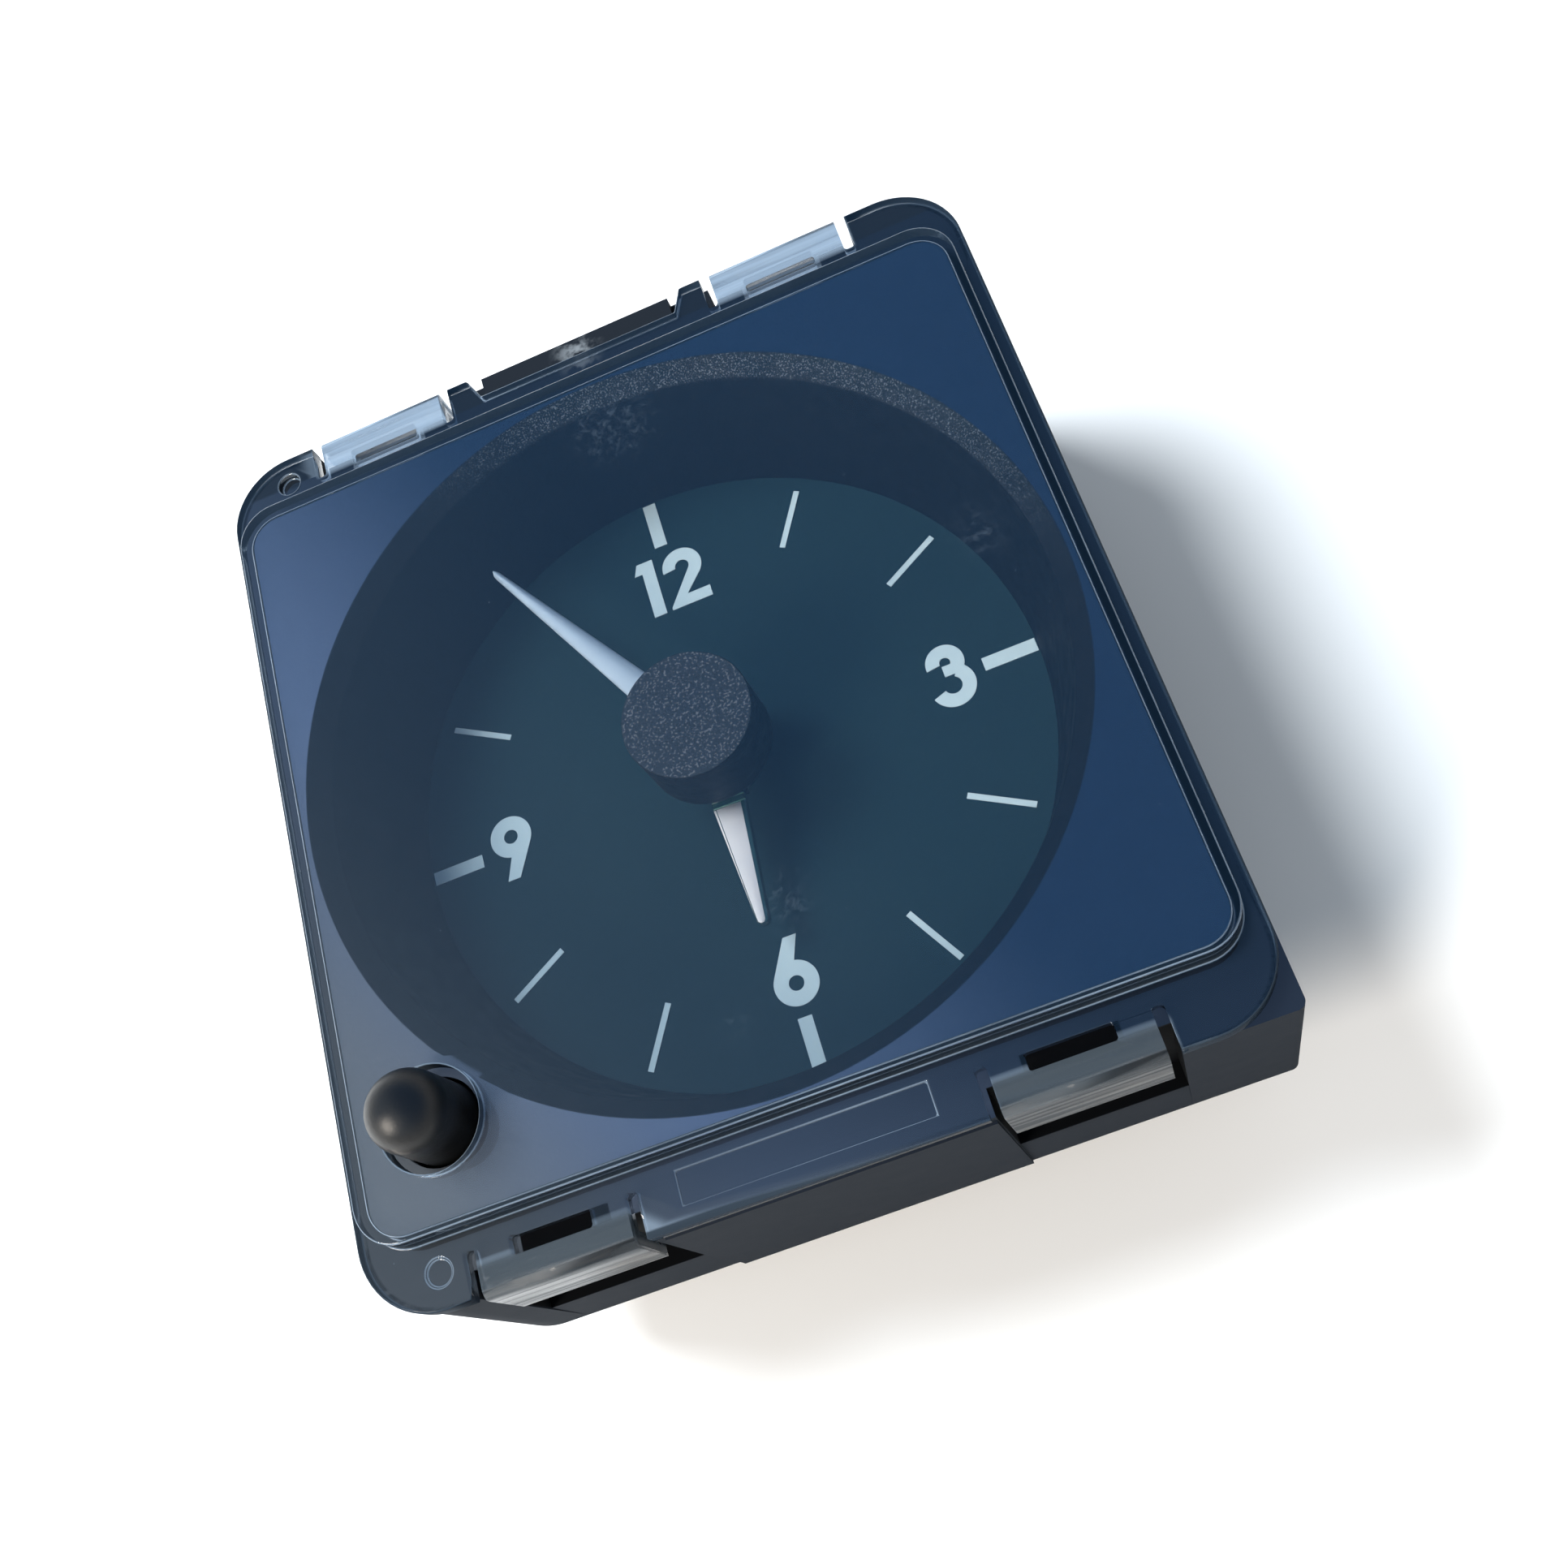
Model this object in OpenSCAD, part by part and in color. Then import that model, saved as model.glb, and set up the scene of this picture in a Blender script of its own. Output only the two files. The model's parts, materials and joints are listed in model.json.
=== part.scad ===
// Dashboard analogue clock module, lying on its back.
// +X points to 3 o'clock, +Y to 12 o'clock, +Z out of the dial.
// Z = 0 is the plane of the four rear mounting posts, on the dial's axis.

/* [Front plate] */
// Width of the clear front plate
plate_w = 80; // [79:0.5:82]
// Top edge of the front plate, above the dial's axis
plate_top = 45.2; // [44.8:0.1:46]
// Bottom edge of the front plate, below the dial's axis
plate_bottom = 44; // [43.8:0.1:45]
// Corner radius of the front plate
plate_r = 7; // [5:0.5:9]
// Thickness of the clear plastic
lens_t = 1.8; // [1.6:0.1:2]
// Height of the flange's front face above the mounting posts
flange_z = 40; // [40:0.5:44]
// Half width of the raised panel
panel_x = 38.5; // [38.3:0.1:38.8]
// Half height of the raised panel
panel_y = 38.2; // [38.1:0.1:38.4]
// Rise of the panel above the flange
panel_rise = 2.6; // [2.4:0.1:3]

/* [Clips] */
// Middle of each clip, to either side of the dial's axis
clip_x = 22.1; // [21.5:0.1:22.5]
// How far the lower left clip sits further out than the other three
clip_shift = 0.8; // [0:0.1:0.8]
// Width of a clip arm
clip_w = 13.6; // [12:0.2:14]
// Width of the slot at each side of a clip arm
slot_w = 1.1; // [0.8:0.1:1.2]
// Length of a clip arm down the case's side
clip_drop = 8; // [7:0.5:9]
// How far a clip arm stands proud of the plate's edge
clip_proud = 0.3; // [0:0.1:0.4]
// Width of the window over a clip's hook
window_w = 7.4; // [6:0.2:8]

/* [Case] */
// Depth of the case wall behind the flange's front face
case_depth = 26; // [26:0.5:28]
// Thickness of the case wall
wall = 1.8; // [1.6:0.1:2]
// Depth of the clip pockets behind the flange's front face
pocket_drop = 17; // [16:0.5:18]

/* [Dial] */
// Radius of the well at the mask's face
well_r = 37; // [36.6:0.1:37.1]
// Radius of the dial that shows at the bottom of the well
dial_show_r = 32.3; // [32:0.1:32.6]
// Depth of the dial behind the flange's front face
dial_drop = 15; // [14.8:0.1:15.2]
// Outer end of the hour bars
bar_out = 30.8; // [30:0.1:31.5]
// Inner end of the hour bars
bar_in = 24.2; // [23:0.1:25]
// Height of the numerals
numeral_h = 6.8; // [6:0.1:7]

/* [Hands] */
// Length of the minute hand from the axis
minute_len = 31; // [28:0.5:31.5]
// Length of the hour hand from the axis
hour_len = 18.7; // [16:0.5:20]
// Radius of the hub cap
cap_r = 6.3; // [5.6:0.1:6.5]
// Minutes past the hour that the hands show
minutes = 54.8; // [0:0.1:59.9]
// Angle of the hour hand, clockwise from 12
hour_angle = 180.5; // [0:0.5:359.5]

/* [Set knob] */
// Knob's axis, to the left of the dial's axis
knob_left = 30.3; // [30:0.1:30.6]
// Knob's axis, below the dial's axis
knob_below = 28.9; // [28.7:0.1:29.1]
// Radius of the knob
knob_r = 3.6; // [3.3:0.1:3.7]
// Push travel of the knob
knob_travel = 2; // [1.5:0.1:2]

/* [Gears] */
// Module of the motion work and the setting idler
motion_module = 0.4; // [0.4]
// Module of the centre wheel and third pinion
centre_module = 0.3; // [0.3]
// Module of the third wheel and rotor pinion
rotor_module = 0.25; // [0.25]

/* [Hidden] */
$fn = 96;
eps = 0.01;

// Colours
black_abs = [0.09, 0.10, 0.11];
case_grey = [0.17, 0.19, 0.21];
clear_tint = [0.62, 0.70, 0.76, 0.45];
dial_blue = [0.10, 0.19, 0.24];
print_white = [0.75, 0.83, 0.88];
hand_white = [0.90, 0.91, 0.94];
brass = [0.80, 0.64, 0.32];
steel = [0.70, 0.72, 0.74];
board_green = [0.10, 0.35, 0.20];
copper = [0.72, 0.40, 0.22];
milky = [0.88, 0.89, 0.86];

// Front levels, from the flange's front face inwards
panel_top_z = flange_z + panel_rise;
case_front_z = flange_z - lens_t;
mask_face_z = flange_z + 0.6;
panel_wall = 0.7;
panel_r = 4;
case_rear_z = flange_z - case_depth;
floor_t = 1.6;
floor_z = case_rear_z + floor_t;
dial_z = flange_z - dial_drop;
dial_t = 0.8;
guide_t = 1.8;
mark_t = 0.08;

// Case outline
case_x = plate_w / 2 + 0.2;
case_top = plate_top - 0.2;
case_bottom = plate_bottom - 0.3;
sharp_r = 0.8;
block_x = 14.5;
notch_x = 10.8;
notch_depth = 2.6;
pocket_in = 14.6;
pocket_out = 30;
pocket_depth = 2.4;
pocket_back = 1.8;
opening_x = 31;
opening_y = 30;

// Movement levels, from the mounting posts up
cover_z = 6;
cover_t = 1.6;
board_z = 9.4;
board_t = 1.6;
rear_plate_z = 13.6;
front_plate_z = 18.8;
plate_t = 0.8;
front_plate_top = front_plate_z + plate_t;
motion_z = 19.8;
motion_t = 0.9;
hour_wheel_z = 21.1;
centre_wheel_z = 17.2;
third_wheel_z = 15.4;
train_t = 0.7;

// Gear train: teeth and centres
cannon_n = 12;
motion_n = 36;
motion_pinion_n = 10;
hour_n = 40;
idler_n = 56;
centre_n = 60;
third_pinion_n = 8;
third_n = 64;
rotor_n = 8;
motion_c = motion_module * (cannon_n + motion_n) / 2;
hour_module = 2 * motion_c / (motion_pinion_n + hour_n);
idler_c = motion_module * (motion_n + idler_n) / 2;
third_c = centre_module * (centre_n + third_pinion_n) / 2;
rotor_c = rotor_module * (third_n + rotor_n) / 2;
knob_dir = 180 + atan2(knob_below, knob_left);
third_dir = 60;
rotor_dir = 0;
motion_at = motion_c * [cos(knob_dir), sin(knob_dir)];
idler_at = (motion_c + idler_c) * [cos(knob_dir), sin(knob_dir)];
third_at = third_c * [cos(third_dir), sin(third_dir)];
rotor_at = third_at + rotor_c * [cos(rotor_dir), sin(rotor_dir)];
knob_at = [-knob_left, -knob_below];

// Shafts and hands
shaft_r = 0.75;
tube_r = 1.6;
run_gap = 0.05;
cap_top_z = flange_z - 1.9;
cap_bottom_z = flange_z - 9;
minute_z = flange_z - 8.2;
hour_z = flange_z - 11;
hand_t = 1.1;

// Setting mechanism
stem_r = 1.5;
shelf_z = 27;
bush_z = 26;
bush_top_z = 30.5;
knob_base_z = 36.5;
knob_dome_z = 46;
disc_r = 4;
disc_z = motion_z + motion_t + 0.1 + knob_travel;

function at_ring(i, count, r) = [r * cos(i * 360 / count), r * sin(i * 360 / count)];

// ---- Shapes that repeat ----

// Rectangle with round corners, from low corner a to high corner b
module round_rect(a, b, r) {
    translate([a[0] + r, a[1]]) square([b[0] - a[0] - 2 * r, b[1] - a[1]]);
    translate([a[0], a[1] + r]) square([b[0] - a[0], b[1] - a[1] - 2 * r]);
    for (x = [a[0] + r, b[0] - r], y = [a[1] + r, b[1] - r]) translate([x, y]) circle(r);
}

module round_box(a, b, r, z0, z1) {
    translate([0, 0, z0]) linear_extrude(z1 - z0) round_rect(a, b, r);
}

module box(a, b, z0, z1) {
    translate([a[0], a[1], z0]) cube([b[0] - a[0], b[1] - a[1], z1 - z0]);
}

module rod(at, r, z0, z1) {
    translate([at[0], at[1], z0]) cylinder(r = r, h = z1 - z0);
}

module tube(at, r_in, r_out, z0, z1) {
    difference() {
        rod(at, r_out, z0, z1);
        rod(at, r_in, z0 - 1, z1 + 1);
    }
}

// Copies to both sides of the dial's axis
module both_sides() {
    children();
    mirror([1, 0, 0]) children();
}

// Copies at the two clips of the lower edge
module lower_clips() {
    children();
    translate([-clip_shift, 0, 0]) mirror([1, 0, 0]) children();
}

// Copies at the two clips of the upper edge
module upper_clips() {
    both_sides() mirror([0, 1, 0]) children();
}

// Copies at the four corners of a rectangle
module four_at(x, y) {
    for (sx = [-1, 1], sy = [-1, 1]) translate([sx * x, sy * y, 0]) children();
}

// A profile in Y and Z, extruded along X between x0 and x1
module along_x(x0, x1) {
    translate([x0, 0, 0]) rotate([90, 0, 90]) linear_extrude(x1 - x0) children();
}

// Pan head screw that points up, with its head below z and a cross recess
module screw_up(at, z, r, length, head_r, head_h) {
    difference() {
        union() {
            rod(at, head_r, z - head_h, z);
            rod(at, r, z - eps, z + length);
        }
        for (turn = [0, 90]) {
            translate([at[0], at[1], z - head_h]) rotate(turn)
                cube([head_r * 1.2, head_r * 0.3, head_h], center = true);
        }
    }
}

// ---- Gears ----

function inv_angle(a) = tan(a) * 180 / PI - a;
function flank_angle(r, m, n, slack) =
    let (rp = m * n / 2, rb = rp * cos(20), rr = max(r, rb))
    90 / n - slack / rp * 180 / PI + inv_angle(20) - inv_angle(acos(rb / rr));
function flank_radii(m, n) =
    let (rp = m * n / 2)
    [rp - 1.25 * m, max(rp - 0.6 * m, rp * cos(20) + 0.001), rp + 0.3 * m, rp + 0.9 * m];
function tooth_points(m, n, slack, mid) = [
    for (side = [-1, 1], k = side < 0 ? [0, 1, 2, 3] : [3, 2, 1, 0])
        let (r = flank_radii(m, n)[k], a = mid + side * flank_angle(r, m, n, slack))
        [r * cos(a), r * sin(a)]
];
function gear_points(m, n, slack) = [for (i = [0:n - 1]) each tooth_points(m, n, slack, i * 360 / n)];
// Turn that puts the second gear in mesh with the first, along direction dir
function mesh_turn(dir, turn1, n1, n2) = dir + 180 - (0.5 - (dir - turn1) * n1 / 360) * 360 / n2;

module gear(at, m, n, z, t, turn, bore_r, slack = 0.03) {
    translate([at[0], at[1], z]) rotate(turn) difference() {
        linear_extrude(t) polygon(gear_points(m, n, slack));
        translate([0, 0, -1]) cylinder(r = bore_r, h = t + 2);
    }
}

// Round lightening holes in a wheel
module web_holes(at, count, ring, r, z, t) {
    for (i = [0:count - 1]) rod(at + at_ring(i + 0.5, count, ring), r, z - 1, z + t + 1);
}

motion_turn = mesh_turn(knob_dir, 0, cannon_n, motion_n);
idler_turn = mesh_turn(knob_dir, motion_turn, motion_n, idler_n);
hour_turn = mesh_turn(knob_dir + 180, 0, motion_pinion_n, hour_n);
third_turn = mesh_turn(third_dir, 0, centre_n, third_pinion_n);
rotor_turn = mesh_turn(rotor_dir, 0, third_n, rotor_n);

// ---- Clear front plate ----

// Clip arm at the bottom edge: over the edge in a round bend, then down the side
module clip_arm(edge_y) {
    bend_r = 0.9;
    outer_y = edge_y - clip_proud;
    inner_y = edge_y + 1.2;
    low_z = flange_z - clip_drop;
    arc = [for (a = [0:15:90]) [outer_y + bend_r - bend_r * sin(a), flange_z - bend_r + bend_r * cos(a)]];
    outline = concat(
        [[edge_y + 3.2, case_front_z], [edge_y + 3.2, flange_z]], arc,
        [[outer_y, low_z], [inner_y, low_z], [inner_y, case_front_z]]);
    hook_y = inner_y + 0.9;
    hook = [
        [inner_y - eps, low_z], [inner_y + 0.2, low_z], [hook_y, low_z + 1], [hook_y, low_z + 1.5],
        [inner_y - eps, low_z + 1.7]];
    along_x(clip_x - clip_w / 2, clip_x + clip_w / 2) polygon(outline);
    along_x(clip_x - window_w / 2 + 0.2, clip_x + window_w / 2 - 0.2) polygon(hook);
}

// Cuts that free a clip: two slots, the room under the arm and the window
module clip_cuts(edge_y) {
    arm = clip_w / 2;
    slot_top = edge_y + 4.1;
    z0 = case_front_z - 1;
    z1 = flange_z + 1;
    for (side = [-1, 1]) {
        x = clip_x + side * (arm + slot_w / 2);
        round_box([x - slot_w / 2, edge_y - 2], [x + slot_w / 2, slot_top], 0.4, z0, z1);
    }
    box([clip_x - arm - eps, edge_y - 1], [clip_x + arm + eps, edge_y + 2.4], z0, z1);
}

module clip_window(edge_y) {
    round_box([clip_x - window_w / 2, edge_y + 2.4], [clip_x + window_w / 2, edge_y + 4.1], 0.3,
        case_front_z - 1, flange_z + 1);
}

module lens_flange() {
    difference() {
        round_box([-plate_w / 2, -plate_bottom], [plate_w / 2, plate_top], plate_r, case_front_z, flange_z);
        round_box(
            [-panel_x + panel_wall, -panel_y + panel_wall], [panel_x - panel_wall, panel_y - panel_wall],
            panel_r - panel_wall, 0, flange_z + 1);
        // Notch for the case's key, wider towards the edge
        linear_extrude(flange_z + 1) polygon([
            [-notch_x, plate_top - notch_depth], [notch_x, plate_top - notch_depth],
            [notch_x + 1.6, plate_top + 1], [-notch_x - 1.6, plate_top + 1]]);
        lower_clips() clip_cuts(-plate_bottom);
        upper_clips() clip_cuts(-plate_top);
        box([-11.4, -42.4], [10.4, -39.6], flange_z - 0.25, flange_z + 1);
        rod([-33.1, -40.9], 1.2, flange_z - 0.3, flange_z + 1);
        rod([-33.2, 42], 1.2, flange_z - 0.9, flange_z + 1);
    }
}

module lens_panel() {
    wall_in = panel_wall;
    difference() {
        round_box([-panel_x, -panel_y], [panel_x, panel_y], panel_r, case_front_z, panel_top_z);
        round_box([-panel_x + wall_in, -panel_y + wall_in], [panel_x - wall_in, panel_y - wall_in],
            panel_r - wall_in, 0, panel_top_z - lens_t);
    }
}

module lens() {
    color(clear_tint) difference() {
        union() {
            lens_flange();
            lens_panel();
            lower_clips() clip_arm(-plate_bottom);
            upper_clips() clip_arm(-plate_top);
        }
        lower_clips() clip_window(-plate_bottom);
        upper_clips() clip_window(-plate_top);
        rod(knob_at, knob_r + 1, flange_z - 5, panel_top_z + 1);
    }
}

// ---- Mask with the well ----

module mask() {
    half_x = panel_x - panel_wall - 0.1;
    half_y = panel_y - panel_wall - 0.1;
    skirt = 1.2;
    lip_z = mask_face_z - 1.7;
    lip_r = well_r - 1.7;
    color(black_abs) difference() {
        union() {
            difference() {
                round_box([-half_x, -half_y], [half_x, half_y], 3, case_front_z, mask_face_z);
                difference() {
                    round_box([-half_x + skirt, -half_y + skirt], [half_x - skirt, half_y - skirt], 2,
                        0, mask_face_z - 1.4);
                    cylinder(r = well_r + 0.9, h = 100);
                }
            }
            rotate_extrude() polygon([
                [dial_show_r - 1, dial_z], [dial_show_r + 1.2, dial_z], [well_r - 0.1, case_front_z - 0.4],
                [well_r - 0.1, mask_face_z], [dial_show_r - 1, mask_face_z]]);
        }
        rotate_extrude() polygon([
            [0, dial_z - 1], [dial_show_r, dial_z - 1], [dial_show_r, dial_z], [lip_r, lip_z],
            [well_r, mask_face_z], [well_r, mask_face_z + 1], [0, mask_face_z + 1]]);
        rod(knob_at, knob_r + 0.3, 0, 100);
    }
}

// ---- Case ----

module case_outline(inset) {
    x = case_x - inset;
    r = plate_r - inset;
    round_rect([-x, -case_bottom + inset], [x, case_top - inset], r);
    // The lower right corner is square
    round_rect([x - 2 * r, -case_bottom + inset], [x, -case_bottom + inset + 2 * r], sharp_r);
}

// Pocket in the case wall for one clip, open towards the front
module clip_pocket(edge_y) {
    z = flange_z - pocket_drop;
    box([pocket_in, edge_y - 2], [pocket_out, edge_y + pocket_depth], z, case_front_z + 1);
    along_x(pocket_in, pocket_out) polygon([
        [edge_y - 1, case_rear_z - eps], [edge_y, case_rear_z - eps],
        [edge_y + 0.12, z + eps], [edge_y - 1, z + eps]]);
}

// Thick wall behind a pocket, and the ledge that the clip's hook passes
module pocket_wall(edge_y) {
    box([pocket_in - wall, edge_y + wall - eps], [pocket_out + wall, edge_y + pocket_depth + pocket_back],
        flange_z - pocket_drop - wall, case_front_z - eps);
}

module clip_ledge(edge_y) {
    y = edge_y + pocket_depth;
    along_x(clip_x - window_w / 2, clip_x + window_w / 2) polygon([
        [y + eps, flange_z - 5.6], [y - 0.6, flange_z - 5.6], [y - 0.9, flange_z - 5.2],
        [y - 0.9, flange_z - 4.6], [y + eps, flange_z - 3]]);
}

cover_screw_x = 35;
cover_screw_y = 20;
cover_post_r = 2.8;
ear_x = 34;
ear_ys = [12, -8];
bulb_x = 9;
bulb_y = 38.2;

module housing() {
    rim_r = well_r + 0.2;
    color(case_grey) difference() {
        union() {
            difference() {
                translate([0, 0, case_rear_z]) linear_extrude(case_front_z - case_rear_z) case_outline(0);
                translate([0, 0, floor_z]) linear_extrude(case_front_z - wall - floor_z) case_outline(wall);
            }
            lower_clips() pocket_wall(-case_bottom);
            upper_clips() pocket_wall(-case_top);
            // Middle block of the lower wall
            box([-block_x, -case_bottom - 0.3], [block_x, -case_bottom + eps],
                case_rear_z, case_front_z - 1.2);
            // Key in the front plate's notch
            box([-notch_x + 0.3, case_top - 2.2], [notch_x - 0.3, case_top],
                case_front_z - eps, flange_z - 0.5);
            // Corner shelf that holds the knob's bush
            intersection() {
                translate([0, 0, shelf_z]) linear_extrude(2) case_outline(wall - eps);
                box([-case_x, -case_bottom], [-22, -20], shelf_z, shelf_z + 2);
            }
            for (sx = [-1, 1], sy = [-1, 1]) rod([sx * cover_screw_x, sy * cover_screw_y], cover_post_r,
                floor_z - eps, floor_z + 3.6);
            for (sx = [-1, 1], y = ear_ys) rod([sx * ear_x, y], 2.4, floor_z - eps, front_plate_z);
        }
        rod([0, 0], rim_r, shelf_z - 0.5, 100);
        difference() {
            box([-opening_x, -opening_y], [opening_x, opening_y], case_rear_z - 1, floor_z + 1);
            for (sx = [-1, 1], y = ear_ys) rod([sx * ear_x, y], 2.4, 0, 50);
        }
        lower_clips() clip_pocket(-case_bottom);
        upper_clips() clip_pocket(-case_top);
        rod(knob_at, knob_r + 0.5, shelf_z + 3, 100);
        rod(knob_at, 2.4, shelf_z - 1, shelf_z + 3);
        for (sx = [-1, 1], sy = [-1, 1]) rod([sx * cover_screw_x, sy * cover_screw_y], 1.25, 0, 60);
        for (sx = [-1, 1], y = ear_ys) rod([sx * ear_x, y], 0.9, floor_z - 1, 60);
        both_sides() rod([bulb_x, bulb_y], 4.1, 0, floor_z + 1);
    }
    color(case_grey) {
        lower_clips() clip_ledge(-case_bottom);
        upper_clips() clip_ledge(-case_top);
    }
}

// ---- Dial ----

module dial() {
    color(dial_blue) tube([0, 0], 3.2, 34, dial_z - dial_t, dial_z);
}

// Ring sector between two angles, thick enough for a numeral's stroke
module arc_stroke(centre, r, stroke, a0, a1) {
    far = r * 2.5;
    steps = ceil((a1 - a0) / 30);
    translate(centre) intersection() {
        difference() {
            circle(r);
            circle(r - stroke);
        }
        polygon(concat([[0, 0]], [for (i = [0:steps])
            let (a = a0 + (a1 - a0) * i / steps) [far * cos(a), far * sin(a)]]));
    }
}

stroke = numeral_h * 0.205;

module numeral_1() {
    half = stroke / 2;
    flag_y = numeral_h - 1.3;
    polygon([
        [-half, 0], [half, 0], [half, numeral_h], [-half - 0.35, numeral_h], [-half - 0.85, flag_y],
        [-half, flag_y]]);
}

module numeral_2() {
    r = numeral_h * 0.315;
    cy = numeral_h - r;
    low = -35;
    arc_stroke([0, cy], r, stroke, low - 8, 185);
    polygon([
        [r * cos(low), cy + r * sin(low)], [(r - stroke) * cos(low), cy + (r - stroke) * sin(low)],
        [-r - 0.1, 0.3], [-r - 0.1, 0], [r + 0.1, 0], [r + 0.1, stroke * 0.9], [-0.25, stroke * 0.9]]);
}

module numeral_3() {
    r_top = numeral_h * 0.285;
    r_low = numeral_h * 0.34;
    arc_stroke([0, numeral_h - r_top], r_top, stroke, -58, 188);
    arc_stroke([0, r_low], r_low, stroke, -160, 62);
    translate([-0.45, numeral_h * 0.5]) square([1.5, stroke * 0.82]);
}

module numeral_6() {
    r = numeral_h * 0.325;
    lean = 150;
    difference() {
        union() {
            translate([0, r]) circle(r);
            polygon([
                [r * cos(lean), r + r * sin(lean)], [-0.05, numeral_h], [1.3, numeral_h],
                [(r - stroke * 1.1) * cos(lean) + 0.3, r + (r - stroke * 1.1) * sin(lean)]]);
        }
        translate([0, r]) circle(r - stroke * 1.05);
    }
}

module numeral_9() {
    translate([0, numeral_h]) rotate(180) numeral_6();
}

// Hour bar along the radius at one clock hour
module hour_bar(hour, r_in, r_out, width) {
    rotate(-30 * hour) translate([-width / 2, r_in]) square([width, r_out - r_in]);
}

module dial_markings() {
    half_h = numeral_h / 2;
    numeral_ring = 22.3;
    color(print_white) translate([0, 0, dial_z]) linear_extrude(mark_t) {
        for (hour = [1, 2, 4, 5, 7, 8, 10, 11]) hour_bar(hour, bar_in, bar_out, 0.6);
        for (hour = [3, 6, 9, 12]) hour_bar(hour, bar_in + 2.6, dial_show_r - 0.1, 1.4);
        translate([-2.1, numeral_ring - half_h]) numeral_1();
        translate([1.5, numeral_ring - half_h]) numeral_2();
        translate([23.4, 0.25 - half_h]) numeral_3();
        translate([0.2, -numeral_ring - half_h]) numeral_6();
        translate([-23.4, 0.2 - half_h]) numeral_9();
    }
}

module light_guide() {
    legs = [[24, 18], [-24, 18], [24, -18], [-4, -27]];
    color(milky) {
        tube([0, 0], 4.2, 33.5, dial_z - dial_t - guide_t, dial_z - dial_t);
        for (leg = legs) rod(leg, 1.6, front_plate_top, dial_z - dial_t - guide_t + eps);
    }
}

// ---- Rear cover, mounting and light ----

post_x = 24;
post_y = 20;
post_r = 4;
insert_r = 2.4;
insert_bore_r = 1.65;
socket_y = -10;
socket_x_half = 9;
socket_y_half = 5.2;

module rear_cover() {
    tub_x = opening_x - 0.4;
    tub_y = opening_y - 0.4;
    flange_x = 37.8;
    flange_y = 31.6;
    color(black_abs) difference() {
        union() {
            round_box([-flange_x, -flange_y], [flange_x, flange_y], 4, case_rear_z - 2, case_rear_z);
            round_box([-tub_x, -tub_y], [tub_x, tub_y], 3, cover_z, floor_z - 0.4);
            for (sx = [-1, 1], sy = [-1, 1]) rod([sx * post_x, sy * post_y], post_r, 0, cover_z + eps);
        }
        round_box([-tub_x + cover_t, -tub_y + cover_t], [tub_x - cover_t, tub_y - cover_t], 2,
            cover_z + cover_t, 50);
        box([-socket_x_half, socket_y - socket_y_half], [socket_x_half, socket_y + socket_y_half], 0, 50);
        for (sx = [-1, 1], sy = [-1, 1]) {
            rod([sx * post_x, sy * post_y], insert_r, -1, 50);
            rod([sx * cover_screw_x, sy * cover_screw_y], 1.25, 0, 50);
        }
        // Vent slots over the board
        for (x = [-12:6:12]) round_box([x - 1, 8], [x + 1, 22], 0.9, 0, cover_z + cover_t + 1);
    }
}

module cover_screws() {
    color(steel) for (sx = [-1, 1], sy = [-1, 1])
        screw_up([sx * cover_screw_x, sy * cover_screw_y], case_rear_z - 2, 1.25, 6.5, 2.3, 1.6);
}

// Brass inserts with knurl flanges in the rear posts
module mount_inserts() {
    color(brass) for (sx = [-1, 1], sy = [-1, 1])
        tube([sx * post_x, sy * post_y], insert_bore_r, insert_r, 0, cover_z + cover_t);
}

module bulb_holders() {
    seat_z = case_rear_z;
    color(black_abs) both_sides() translate([bulb_x, bulb_y, 0]) {
        difference() {
            union() {
                rod([0, 0], 5.1, seat_z - 1.8, seat_z);
                rod([0, 0], 4, seat_z - eps, seat_z + 5.2);
                box([-1.2, -4.2], [1.2, 4.2], seat_z - 4.6, seat_z - 1.8 + eps);
                rotate(45) box([-4.9, -1], [4.9, 1], floor_z + 0.1, floor_z + 1.1);
            }
            rod([0, 0], 2.3, seat_z + 1, seat_z + 6);
        }
    }
}

module bulbs() {
    base_z = case_rear_z + 1;
    top_z = case_rear_z + 11.6;
    color([0.9, 0.92, 0.88, 0.6]) both_sides() translate([bulb_x, bulb_y, 0]) {
        rod([0, 0], 2.2, base_z, top_z);
        intersection() {
            translate([0, 0, top_z]) sphere(2.2);
            rod([0, 0], 3, top_z - eps, top_z + 3);
        }
    }
}

module connector_shroud() {
    x = socket_x_half;
    y = socket_y_half;
    color([0.13, 0.13, 0.14]) difference() {
        round_box([-x, socket_y - y], [x, socket_y + y], 0.8, 0.6, board_z - 0.1);
        round_box([-x + 1.2, socket_y - y + 1.2], [x - 1.2, socket_y + y - 1.2], 0.4, 0, board_z - 1.7);
        for (i = [-1.5:1.5]) box([i * 3.6 - 0.95, socket_y - 0.4], [i * 3.6 + 0.95, socket_y + 0.4], 0, 50);
        // Key slots for the plug's latch
        for (x = [-4, 4]) box([x - 0.8, socket_y + y - 1.6], [x + 0.8, socket_y + y + 1], 0, 4);
    }
}

module terminals() {
    color(brass) for (i = [-1.5:1.5])
        box([i * 3.6 - 0.9, socket_y - 0.35], [i * 3.6 + 0.9, socket_y + 0.35],
            5.6, board_z + board_t + 0.7);
}

// ---- Circuit board ----

pillar_x = 26;
pillar_y = 24;

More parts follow.
